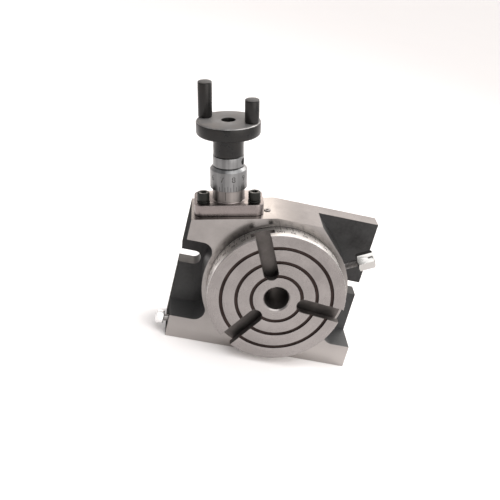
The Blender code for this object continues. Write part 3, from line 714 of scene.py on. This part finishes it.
def casting():
    """Ground outside, enamel in the two recesses, bare cuts in the slots and bores."""
    enamel, cut, milled, rough_end, rubbed_and_highlit = 1, 2, 3, 4, 5
    foot = -AXIS_HEIGHT
    corner = (BODY_TOP * math.cos(LEAN) - SEAT) / math.sin(LEAN)
    outline = [(BODY_LOW.x, foot), (BODY_HIGH.x, foot), (BODY_HIGH.x, BODY_TOP), (corner, BODY_TOP),
               (BODY_LOW.x, seat_height(BODY_LOW.x))]
    front, back, lug = -BODY_FRONT, -BODY_BACK, -LUG_FRONT
    worm_here, clamp_here, lock_here = (TABLE.inverted() @ frame for frame in (WORM, CLAMP, LOCK))
    cutters = [
        prism("left_recess", left_recess_outline()[::-1], lug, front + PAST, material=enamel),
        prism("right_recess", right_recess_outline(), lug, front + PAST, material=enamel),
        prism("left_slot", lug_slot_outline(BODY_LOW.x, 1), back - PAST, front, material=milled),
        prism("right_slot", lug_slot_outline(BODY_HIGH.x, -1), back - PAST, front, material=milled),
    ]
    middle, bolt_y = (0.0, 0.0), SLEEVE_BOLT_Y
    bores = [
        (Matrix(), DRUM_RADIUS + GAP, CAVITY_FLOOR, front + PAST, 160, middle),
        (Matrix(), CHAMBER_RADIUS, CHAMBER_LOW, CHAMBER_HIGH, 96, middle),
        (Matrix(), SPINDLE_RADIUS + GAP, back - PAST, 0.0, 96, middle),
        (Matrix(), RING_SEAT_RADIUS, back - PAST, SPINDLE_END, 128, middle),
        (worm_here, SLEEVE_BORE_RADIUS, SLEEVE_BORE_END, SEAT + PAST, 64, middle),
        (worm_here, TUNNEL_RADIUS, TUNNEL_LOW, TUNNEL_HIGH, 48, middle),
        (worm_here, OILER_HOLE_RADIUS, OILER_HOLE_END, SEAT + PAST, 32, OILER_PLACE),
        (clamp_here, CLAMP_HOLE_RADIUS, DRUM_RADIUS - 0.003, BOSS_RADIUS + PAST, 32, middle),
        (lock_here, LOCK_HOLE_RADIUS, LOCK_HOLE_END, -BODY_LOW.x + 2 * JUST_PAST, 40, middle),
        (worm_here, SLEEVE_BOLT_HOLE, SLEEVE_BOLT_END, SEAT + PAST, 24, (-SLEEVE_BOLT_X, bolt_y)),
        (worm_here, SLEEVE_BOLT_HOLE, SLEEVE_BOLT_END, SEAT + PAST, 24, (SLEEVE_BOLT_X, bolt_y)),
    ]
    cutters += [lay(cylinder("bore", *bore, cut), frame) for frame, *bore in bores]
    block = prism("base_casting_fine", outline, back, front)
    for face in block.polygons:
        if abs(face.normal.x) > 0.99:
            face.material_index = rough_end
    mesh = carve(block, cutters)

    def chosen(edge, inner):
        """Cast inner corners of the recesses get a wide fillet; every outer corner a small round."""
        middle = (edge.verts[0].co + edge.verts[1].co) / 2
        along = (edge.verts[0].co - edge.verts[1].co).normalized()
        if inner:
            return abs(middle.z - lug) < TINY and abs(along.z) < 0.1
        return middle.z > 0.0 or abs(middle.z - back) < TINY or abs(middle.z - lug) < TINY \
            or abs(along.z) > 0.99

    soften(mesh, 0.00045, 2, 30.0, 0.0012, chosen)
    # Front edges of the upper part get the lighter edge finish: partly wear, partly a painted highlight.
    for face in mesh.polygons:
        if face.center.z > front - 0.0006 and 0.2 < face.normal.z < 0.95 and face.center.y > -0.02:
            face.material_index = rubbed_and_highlit
    finishes = [M[name] for name in ("ground", "paint", "machined", "lug_cut", "end_paint", "edge")]
    show("body_casting", mesh, TABLE, finishes, "body", ["base_casting"])


# Table

def slot_outline(angle, width):
    radius = width / 2
    turn = Matrix.Rotation(angle, 2)
    nose = arc((SLOT_START, 0.0), radius, math.pi / 2, 1.5 * math.pi, 28)
    outside = TABLE_RADIUS + 0.003
    return [tuple(turn @ Vector(point)) for point in [(outside, radius)] + nose + [(outside, -radius)]]


def table():
    """The disc with rings, slots, drum and spindle."""
    ring, bare, rim = 1, 2, 3
    floor = TABLE_FACE - GROOVE_DEPTH
    profile = [(BORE_BACK, SPINDLE_END, 0), (BORE_BACK, 0.002, 0),
               (BORE_MOUTH - 0.001, TABLE_FACE - 0.001, 0.0002), (BORE_MOUTH, TABLE_FACE, 0.0002)]
    for radius in reversed(GROOVE_RADII):
        mouth, low = GROOVE_HALF_MOUTH, GROOVE_HALF_FLOOR
        profile += [(radius - mouth, TABLE_FACE, 0.0001), (radius - low, floor, 0.0003),
                    (radius + low, floor, 0.0003), (radius + mouth, TABLE_FACE, 0.0001)]
    under = TABLE_FACE - RIM_WIDTH
    profile += [(TABLE_RADIUS - RIM_CHAMFER, TABLE_FACE, 0.0002),
                (TABLE_RADIUS, TABLE_FACE - RIM_CHAMFER, 0.0002), (TABLE_RADIUS, under, 0.0004),
                (DRUM_RADIUS, under, 0), (DRUM_RADIUS, DRUM_LOW, 0), (DRUM_STEP_RADIUS, DRUM_LOW, 0),
                (DRUM_STEP_RADIUS, DRUM_STEP, 0), (SPINDLE_RADIUS, DRUM_STEP, 0),
                (SPINDLE_RADIUS, SPINDLE_END, 0)]
    shape = lathe_shape(rounded(profile, 0.0002), 240)
    bmesh.ops.recalc_face_normals(shape, faces=shape.faces)
    for face in shape.faces:
        middle = face.calc_center_median()
        deep = floor - 0.0001 < middle.z < TABLE_FACE - 0.00008
        if deep and 0.015 < middle.xy.length < 0.045:
            face.material_index = ring
        if middle.xy.length < 0.0092 and middle.z < TABLE_FACE - 0.0005:
            face.material_index = bare
        if middle.xy.length > TABLE_RADIUS - 0.00005:
            face.material_index = rim
    mesh = bpy.data.meshes.new("table_fine")
    shape.to_mesh(mesh)
    shape.free()
    cutters = []
    for degrees in SLOT_ANGLES:
        angle = math.radians(degrees)
        cutters.append(prism("neck", slot_outline(angle, SLOT_NECK), SLOT_NECK_LOW, TABLE_FACE, 0.00025,
                             bare))
        cutters.append(prism("head", slot_outline(angle, SLOT_HEAD), SLOT_HEAD_LOW, SLOT_HEAD_HIGH,
                             material=bare))
    for angle in SCREW_TURNS:
        cutters.append(cylinder("hole", 0.0022, 0.0, 0.015, 16, around(WHEEL_SCREW_CIRCLE, angle), bare))
        cutters.append(cylinder("hole", RING_SCREW_HOLE, -0.020, -0.006, 16, around(RING_SCREW_CIRCLE, angle),
                                bare))
    mesh = carve(mesh, cutters)
    finishes = [M[name] for name in ("table", "groove", "slot_iron", "rim")]
    show("table_disc", mesh, TABLE, finishes, "table", ["rotary_table"], 28.0)


def in_slot(angle, margin):
    """True where a rim mark at this angle would hang over a T-slot."""
    for degrees in SLOT_ANGLES:
        away = (angle - math.radians(degrees) + math.pi) % (2 * math.pi) - math.pi
        if abs(away) < math.asin((SLOT_HEAD / 2 + margin) / TABLE_RADIUS):
            return True
    return False


def tick(shape, radius, angle, low, high, width):
    """An inked line on a cylinder, parallel to its axis, a hair proud of it."""
    half = width / 2 / radius
    corners = []
    for reach in (radius - 0.0001, radius + 0.000018):
        for turn, height in ((angle - half, low), (angle + half, low), (angle + half, high),
                             (angle - half, high)):
            corners.append(shape.verts.new((reach * math.cos(turn), reach * math.sin(turn), height)))
    for loop in ((0, 1, 2, 3), (4, 5, 6, 7), (0, 1, 5, 4), (1, 2, 6, 5), (2, 3, 7, 6), (3, 0, 4, 7)):
        shape.faces.new([corners[index] for index in loop])


def wrapped_text(shape, words, size, radius, angle, height):
    """Engraved figures bent round a cylinder, reading with its axis pointing up."""
    curve = bpy.data.curves.new("figure", "FONT")
    curve.body = words
    curve.size = size
    curve.align_x = curve.align_y = "CENTER"
    curve.extrude = 0.00006
    curve.resolution_u = 3
    item = stand("figure", curve)
    bpy.context.view_layer.update()
    mesh = bpy.data.meshes.new_from_object(item.evaluated_get(bpy.context.evaluated_depsgraph_get()))
    bpy.data.objects.remove(item)
    for vertex in mesh.vertices:
        x, y, z = vertex.co
        turn = angle + x / radius
        reach = radius + z - 0.00004
        vertex.co = (reach * math.cos(turn), reach * math.sin(turn), height + y)
    shape.from_mesh(mesh)
    bpy.data.meshes.remove(mesh)


def table_scale():
    """Degrees round the rim: lines at the body's side of the rim, figures every ten degrees."""
    shape = bmesh.new()
    back = TABLE_FACE - RIM_WIDTH + 0.0006
    for degree in range(360):
        angle = math.radians(degree)
        length = 0.0050 if degree % 10 == 0 else 0.0040 if degree % 5 == 0 else 0.0028
        width = 0.00022 if degree % 5 else 0.00042
        if not in_slot(angle, 0.0003):
            tick(shape, TABLE_RADIUS, angle, back, back + length, width)
    for degree in range(0, 360, 10):
        angle = math.radians(degree)
        if not in_slot(angle, 0.0024):
            wrapped_text(shape, str(degree), 0.0040, TABLE_RADIUS, angle, back + 0.0076)
    show("table_degrees", to_mesh("table_degrees", shape), TABLE, [M["ink"]], "table")


# Sleeve, dial and collar

def rounded_rectangle(width, depth, corner):
    outline = []
    for quarter, (side_x, side_y) in enumerate(((1, 1), (-1, 1), (-1, -1), (1, -1))):
        centre = (side_x * (width / 2 - corner), side_y * (depth / 2 - corner))
        start = quarter * math.pi / 2
        outline += arc(centre, corner, start, start + math.pi / 2, 16)
    return outline


def sleeve():
    """The bolted flange, the tube through it and the index line on the tube."""
    flange = prism("sleeve_fine", rounded_rectangle(FLANGE_WIDTH, FLANGE_DEPTH, FLANGE_CORNER), SEAT + GAP,
                   FLANGE_TOP)
    tube = lathe("tube", [(0.0, SLEEVE_TOP, 0), (INDEX_RADIUS, SLEEVE_TOP, 0.0003),
                          (INDEX_RADIUS, INDEX_END, 0), (SLEEVE_RADIUS, INDEX_END, 0),
                          (SLEEVE_RADIUS, SLEEVE_END, 0.0003), (0.0, SLEEVE_END, 0)], 128)
    mesh = carve(flange, [tube], "UNION")
    cutters = [cylinder("bore", SHAFT_RADIUS + GAP, SLEEVE_END - JUST_PAST, SLEEVE_TOP + JUST_PAST, 48)]
    for side in (-1, 1):
        cutters.append(cylinder("hole", SLEEVE_BOLT_HOLE, SEAT - JUST_PAST, FLANGE_TOP + JUST_PAST, 32,
                                (side * SLEEVE_BOLT_X, SLEEVE_BOLT_Y)))
    mesh = carve(mesh, cutters)
    soften(mesh, 0.0004, 3, 40.0, 0.0006,
           lambda edge, inner: all(abs(vertex.co.z - FLANGE_TOP) < TINY for vertex in edge.verts)
           and edge.verts[0].co.xy.length > 0.0105)
    for face in mesh.polygons:
        if face.center.z > FLANGE_TOP + 0.0008 and abs(face.normal.z) < 0.5:
            face.material_index = 1
    show("sleeve_flange", mesh, WORM, [M["flange"], M["sleeve"]], "body", ["worm_sleeve"])
    shape = bmesh.new()
    tick(shape, INDEX_RADIUS, INDEX_ANGLE, FLANGE_TOP + 0.0022, SLEEVE_TOP - 0.0002, 0.00030)
    show("index_line", to_mesh("index_line", shape), WORM, [M["ink"]], "body")


def dial():
    """The graduated ring: every fourth line is long and has a figure."""
    bore = SHAFT_RADIUS + GAP
    low = SLEEVE_TOP + GAP
    mesh = lathe("dial_fine", [(bore, DIAL_TOP, 0.0001), (DIAL_SHOULDER - 0.0005, DIAL_TOP, 0.0003),
                               (DIAL_SHOULDER, DIAL_TOP - 0.0004, 0.0002),
                               (DIAL_RADIUS, DIAL_TOP - 0.0021, 0.0003), (DIAL_RADIUS, low, 0.0003),
                               (DIAL_POCKET_RADIUS, low, 0.0002), (DIAL_POCKET_RADIUS, DIAL_POCKET_TOP, 0),
                               (bore, DIAL_POCKET_TOP, 0)], 160, closed=True)
    show("dial_ring", mesh, WORM, [M["satin"]], "dial", ["dial"])
    shape = bmesh.new()
    lowest = low + 0.0004
    for index in range(DIAL_LINES):
        angle = INDEX_ANGLE + math.radians(360 / DIAL_LINES * index)
        numbered = index % 4 == 3
        length = 0.0056 if numbered else 0.0040 if index % 4 == 1 else 0.0032
        tick(shape, DIAL_RADIUS, angle, lowest, lowest + length, 0.00034)
        if numbered:
            figure = (8 + (index - 3) // 4) % 10
            wrapped_text(shape, str(figure), 0.0060, DIAL_RADIUS, angle, lowest + 0.0085)
    show("dial_scale", to_mesh("dial_scale", shape), WORM, [M["dial_ink"]], "dial")


def collar():
    bore = SHAFT_RADIUS + GAP
    low = DIAL_TOP + GAP
    mesh = lathe("collar_fine", [(bore, COLLAR_TOP, 0.0001), (COLLAR_RADIUS, COLLAR_TOP, 0.0003),
                                 (COLLAR_RADIUS, low, 0.0003), (bore, low, 0)], 128, closed=True)
    hole = cylinder("hole", 0.0024, 0.003, 0.015, 40)
    mesh = carve(mesh, [lay(hole, radial(COLLAR_SCREW_HEIGHT, COLLAR_SCREW_TURN))])
    soften(mesh, 0.00012, 2, 50.0)
    show("collar_ring", mesh, WORM, [M["satin"]], "worm", ["dial_collar"])


def hex_outline(radius, turn):
    return [around(radius, turn + math.radians(60 * index)) for index in range(6)]


def hex_socket(across, low, high):
    return prism("socket", hex_outline(across / math.sqrt(3), math.radians(15)), low, high)


def grub_screw(name, radius, start, end, height, angle, stands_for):
    """A set screw in a radial hole: chamfered ends and a hexagonal socket facing out."""
    length = end - start
    lip = radius - 0.0003
    mesh = lathe(name, [(0.0, length, 0), (lip, length, 0.0001), (radius, length - 0.0003, 0.0001),
                        (radius, 0.0003, 0.0001), (lip, 0.0, 0.0001), (0.0, 0.0, 0)], 48)
    mesh = carve(mesh, [hex_socket(radius * 0.95, length - 0.0018, length + JUST_PAST)])
    frame = WORM @ radial(height, angle) @ Matrix.Translation((0, 0, start))
    show(name, mesh, frame, [M["black_head"]], "worm", [stands_for])


def cap_screw(name, frame, centre, under, head_radius, head_height, radius, length, up, body, stands_for,
              knurl=True):
    """A socket head screw, its head knurled if asked; up is 1 or -1 along the frame's Z."""
    ribs = 36

    def knurled(index, reach, height):
        on_side = reach > head_radius - 0.00002 and height > 0.0003
        return -0.00009 if knurl and on_side and index % 4 in (0, 1) else 0.0

    edge = head_radius * 0.10
    mesh = lathe(name, [(0.0, head_height, 0), (head_radius - edge, head_height, edge * 0.5),
                        (head_radius, head_height - edge, 0), (head_radius, head_height * 0.12, 0),
                        (head_radius - 0.00015, 0.0001, 0), (radius, 0.0, 0), (radius, -length, 0.0003),
                        (0.0, -length, 0)], ribs * 4, wobble=knurled)
    mesh = carve(mesh, [hex_socket(head_radius, head_height * 0.42, head_height + JUST_PAST)])
    soften(mesh, 0.00012, 2, 50.0, 0.0,
           lambda side, inner: all(vertex.co.z > head_height - TINY for vertex in side.verts))
    place = frame @ Matrix.Translation((centre[0], centre[1], under))
    if up < 0:
        place = place @ Matrix.Rotation(math.pi, 4, "X")
    show(name, mesh, place, [M["black_head"]], body, [stands_for])


def sleeve_screws():
    low, hole, outer, thick = FLANGE_TOP + GAP, SLEEVE_BOLT_HOLE, 0.0046, 0.0009
    for name, side in (("left", -1), ("right", 1)):
        centre = (side * SLEEVE_BOLT_X, SLEEVE_BOLT_Y)
        cap_screw("flange_screw_" + name, WORM, centre, low + thick + GAP, 0.00435, 0.0060, 0.0025, 0.0210, 1,
                  "body", "sleeve_bolt_" + name)
        washer = lathe("washer", [(hole, low + thick, 0.0001), (outer, low + thick, 0.0002),
                                  (outer, low, 0.0001), (hole, low, 0.0001)], 64, closed=True)
        show("flange_washer_" + name, washer, WORM @ Matrix.Translation((centre[0], centre[1], 0)),
             [M["black_head"]], "body", ["sleeve_washer_" + name])


# Handwheel

def handwheel():
    """Hub and disc with a duller top face and a top edge that is partly wear and partly a painted highlight,
    and the two handles on their pins.
    """
    low, outer, shoulder = COLLAR_TOP + GAP, WHEEL_RADIUS, SHAFT_TOP + GAP
    mesh = lathe("handwheel_fine", [
        (HUB_BORE, shoulder, 0), (WHEEL_MOUTH, shoulder, 0), (WHEEL_MOUTH, WHEEL_TOP, 0.0004),
        (outer, WHEEL_TOP, 0.0014), (outer, HUB_TOP, 0.0016), (HUB_RADIUS, HUB_TOP, 0.0006),
        (HUB_RADIUS, low, 0.0004), (HUB_BORE, low, 0.0002)], 192, closed=True)
    cutters = [lay(cylinder("hole", 0.0022, 0.003, 0.015, 32), radial(HUB_SCREW_HEIGHT, HUB_SCREW_TURN))]
    for side in (-1, 1):
        centre = around(side * HANDLE_CIRCLE, HANDLE_TURN)
        cutters.append(cylinder("pin_hole", GRIP_BORE, HUB_TOP - JUST_PAST, WHEEL_TOP + JUST_PAST, 32,
                                centre))
    mesh = carve(mesh, cutters)
    for face in mesh.polygons:
        # The top's rounded outer edge gets the lighter edge finish: partly wear, partly a painted highlight.
        on_top = face.center.z > WHEEL_TOP - 0.0012 and face.normal.z > 0.35
        worn_and_highlit = on_top and face.normal.z < 0.9 and face.center.xy.length > outer - 0.0016
        face.material_index = 2 if worn_and_highlit else 1 if on_top and face.normal.z > 0.9 else 0
    show("handwheel_disc", mesh, WORM, [M["black"], M["black_end"], M["worn_and_highlit_edge"]], "worm",
         ["handwheel"])
    for name, side, length in (("long", -1, 0.0239), ("short", 1, 0.0151)):
        centre = around(side * HANDLE_CIRCLE, HANDLE_TURN)
        frame = WORM @ Matrix.Translation((centre[0], centre[1], 0))
        bottom = WHEEL_TOP + GAP
        top = bottom + length
        grip = lathe("grip", [(GRIP_BORE, top, 0), (GRIP_RADIUS, top, 0.0004), (GRIP_RADIUS, bottom, 0.0005),
                              (GRIP_BORE, bottom, 0)], 96, closed=True)
        show(name + "_grip_sleeve", grip, frame, [M["black"]], name + "_grip",
             [name + "_handle_grip"])
        dome, foot = top + GAP, HUB_TOP + 0.0005
        pin = lathe("pin", [(0.0, dome + 0.0012, 0), (0.0015, dome + 0.00117, 0), (0.0028, dome + 0.00105, 0),
                            (0.0041, dome + 0.0008, 0.0004), (0.0048, dome + 0.0004, 0.0002),
                            (0.0049, dome, 0.0001), (PIN_RADIUS, dome, 0), (PIN_RADIUS, foot, 0.0003),
                            (0.0, foot, 0)], 96)
        show(name + "_pin", pin, frame, [M["pin_end"]], "worm", [name + "_handle_pin"])


# Clamp and lock

def clamp():
    """A hexagonal knob with a pill-shaped tommy hole, on a threaded stud."""
    low, high, radius = KNOB_LOW, KNOB_HIGH, KNOB_RADIUS
    hexagon = prism("knob_fine", hex_outline(radius, KNOB_TURN), low, high)
    body = lathe("chamfers", [(0.0, high, 0), (0.0054, high, 0.0003), (radius, high - 0.0010, 0.0003),
                              (radius, low + 0.0008, 0.0003), (0.0056, low, 0.0003), (0.0, low, 0)], 128)
    mesh = carve(hexagon, [body], "INTERSECT")
    bore = cylinder("bore", STUD_RADIUS + GAP, low - JUST_PAST, KNOB_BORE_END, 40)
    hole = prism("tommy", rounded([(-0.0019, -0.0008), (0.0019, -0.0008), (0.0019, 0.0008),
                                   (-0.0019, 0.0008)], 0.00079, True, 6), 0.0035, 0.009)
    mesh = carve(mesh, [bore, lay(hole, radial(TOMMY_HEIGHT, KNOB_TURN + math.radians(210)))])
    soften(mesh, 0.00025, 3, 22.0)
    show("clamp_head", mesh, CLAMP, [M["chrome"]], "clamp_screw", ["clamp_knob"])
    radius, pitch = STUD_RADIUS, STUD_PITCH
    profile = [(0.0, STUD_HIGH, 0), (radius - 0.0004, STUD_HIGH, 0.0002), (radius, STUD_HIGH - 0.0004, 0)]
    height = STUD_HIGH - 0.0012
    while height > STUD_LOW + 0.0062:
        profile += [(radius, height, 0), (STUD_CORE, height - pitch * 0.45, 0),
                    (radius, height - pitch * 0.9, 0)]
        height -= pitch
    profile += [(radius, STUD_LOW, 0), (0.0, STUD_LOW, 0)]
    stud = lathe("stud_fine", profile, 48, 0.0)
    show("clamp_screw_stud", stud, CLAMP, [M["steel"]], "clamp_screw", ["clamp_stud"])


def lock():
    """The foot's lock: a small turned knob with a grooved rim on its screw."""
    low, high, radius = LOCK_LOW, LOCK_HIGH, LOCK_RADIUS
    bore, bore_end = STUD_RADIUS, high - 0.0017
    mesh = lathe("lock_fine", [(0.0, high, 0), (radius - 0.0012, high, 0.0004),
                               (radius, high - 0.0010, 0.0003), (radius, low + 0.0008, 0.0003),
                               (radius - 0.0008, low, 0.0002), (bore, low, 0), (bore, bore_end, 0),
                               (0.0, bore_end, 0)], 144,
                 wobble=lambda index, reach, _: -0.00008 if reach > 0.00465 and index % 6 < 2 else 0.0)
    show("lock_head", mesh, LOCK, [M["pale"]], "lock_screw", ["lock_knob"])


def oiler():
    """A small cup with a flange over the edge of its hole."""
    top, seat, floor, inside = SEAT + 0.0006, SEAT + 0.0001, 0.0520, 0.0014
    mesh = lathe("oiler_fine", [(0.0010, top, 0.0001), (0.0024, top, 0.0003), (0.0024, seat, 0.0001),
                                (0.0019, seat, 0), (0.0019, 0.0500, 0), (0.0, 0.0500, 0), (0.0, floor, 0),
                                (inside, floor, 0), (inside, 0.0550, 0)], 48)
    show("oiler_cup", mesh, WORM @ Matrix.Translation((*OILER_PLACE, 0)), [M["steel"]], "body",
         ["oiler_body"])


# Back

def back():
    """The retaining ring and its three screws, seen from behind."""
    front = SPINDLE_END - GAP
    rear = front - RING_THICKNESS
    mesh = lathe("ring_fine", [(BORE_BACK, front, 0), (RING_RADIUS, front, 0.0002),
                               (RING_RADIUS, rear, 0.0005), (BORE_BACK, rear, 0.0004)], 160, closed=True)
    cutters = []
    for number, angle in enumerate(SCREW_TURNS, 1):
        centre = around(RING_SCREW_CIRCLE, angle)
        cutters.append(cylinder("hole", RING_SCREW_HOLE, rear - JUST_PAST, front + JUST_PAST, 24, centre))
        cutters.append(cylinder("seat", 0.0029, rear - JUST_PAST, rear + 0.0022, 48, centre))
        cap_screw("back_screw_%d" % number, TABLE, centre, rear + 0.0019, 0.0026, 0.0018, 0.0014, 0.0100,
                  -1, "table", "ring_screw_%d" % number, False)
    mesh = carve(mesh, cutters)
    show("back_ring", mesh, TABLE, [M["steel"]], "table", ["retaining_ring"])


def carried_over():
    """CAD nodes whose shape is right keep it and get a finished material."""
    finishes = {
        "bronze": ("worm_wheel", "worm_end_bush", "worm_thrust_washer"),
        "black_head": ("wheel_screw_1", "wheel_screw_2", "wheel_screw_3"),
        "steel": ("worm_shaft", "adjusting_nut", "lock_screw", "oiler_ball"),
        "brass": ("clamp_pad", "lock_cotter"),
    }
    for finish, names in finishes.items():
        for name in names:
            mesh = NODES[name].data
            mesh.materials.clear()
            mesh.materials.append(M[finish])


# Studio

def area(name, place, size, power, colour=(1.0, 1.0, 1.0)):
    light = bpy.data.lights.new(name, "AREA")
    light.shape = "SQUARE"
    light.size = size
    light.energy = power
    light.color = colour
    item = stand(name, light)
    item.location = place
    item.rotation_mode = "QUATERNION"
    item.rotation_quaternion = (Vector(LIGHT_TARGET) - Vector(place)).to_track_quat("-Z", "Y")


def studio():
    """Pale floor, two soft lights above, and a surround with a bright panel behind the object, a bright
    front right and a dark front left, so that the ground faces read apart from each other."""
    mesh = bpy.data.meshes.new("floor")
    shape = bmesh.new()
    bmesh.ops.create_grid(shape, x_segments=2, y_segments=2, size=6.0)
    shape.to_mesh(mesh)
    shape.free()
    floor = stand("floor", mesh)
    floor.location = (0.0, 0.0, -0.0002)
    material, tree, shader, where = start_material("floor_paper")
    tone = mix_colour(tree, noise(tree, where, 3.0, 2.0, 0.5), (0.90, 0.875, 0.87), (0.92, 0.895, 0.89))
    tree.links.new(tone, shader.inputs["Base Color"])
    shader.inputs["Roughness"].default_value = 0.9
    mesh.materials.append(material)

    world = bpy.data.worlds.new("surround")
    world.use_nodes = True
    tree = world.node_tree
    shade = tree.nodes["Background"]
    direction = node(tree, "ShaderNodeTexCoord").outputs["Generated"]
    x, y, z = split_xyz(tree, direction)
    dim = mix_colour(tree, spread(tree, x, -0.8, 0.5), (0.62, 0.62, 0.63), (1.05, 1.04, 1.03))
    low = spread(tree, z, 0.45, 0.8, 1.0, 0.0)
    panel = mix_colour(tree, spread(tree, x, -0.10, -0.045), (0.85, 0.78, 0.75), (3.5, 3.2, 2.95))
    panel = mix_colour(tree, spread(tree, x, 0.02, 0.16), panel, (1.60, 1.50, 1.45))
    behind = math_node(tree, "MULTIPLY", spread(tree, y, 0.1, 0.8), low)
    tone = mix_colour(tree, behind, dim, panel)
    front = math_node(tree, "MULTIPLY", spread(tree, y, -0.3, -0.7), low)
    facing = mix_colour(tree, spread(tree, x, -0.10, 0.30), (0.22, 0.21, 0.20), (3.1, 3.02, 2.95))
    tone = mix_colour(tree, front, tone, facing)
    tree.links.new(tone, shade.inputs["Color"])
    bpy.context.scene.world = world

    area("key", (0.50, 0.40, 0.70), 0.5, 4.0, (1.0, 0.985, 0.97))
    area("top", (0.1, -0.45, 1.1), 1.2, 8.5)


def camera():
    """The view the part is shown from."""
    data = bpy.data.cameras.new("camera")
    data.sensor_width = 36.0
    data.lens = LENS
    data.clip_start = 0.01
    data.clip_end = 50.0
    item = stand("camera", data)
    right = Vector(CAMERA_RIGHT).normalized()
    back_to = Vector(CAMERA_BACK).normalized()
    up = back_to.cross(right).normalized()
    right = up.cross(back_to)
    turn = Matrix((right, up, back_to)).transposed().to_4x4()
    item.matrix_world = Matrix.Translation(CAMERA_PLACE) @ turn
    bpy.context.scene.camera = item
    settings = bpy.context.scene.view_settings
    settings.view_transform = "Standard"
    settings.look = "None"


casting()
table()
table_scale()
sleeve()
dial()
collar()
sleeve_screws()
handwheel()
grub_screw("collar_grub", 0.0021, 0.0060, 0.0098, COLLAR_SCREW_HEIGHT, COLLAR_SCREW_TURN, "collar_set_screw")
grub_screw("hub_grub", 0.0019, 0.0060, 0.0102, HUB_SCREW_HEIGHT, HUB_SCREW_TURN, "handwheel_set_screw")
clamp()
lock()
oiler()
back()
carried_over()
studio()
camera()
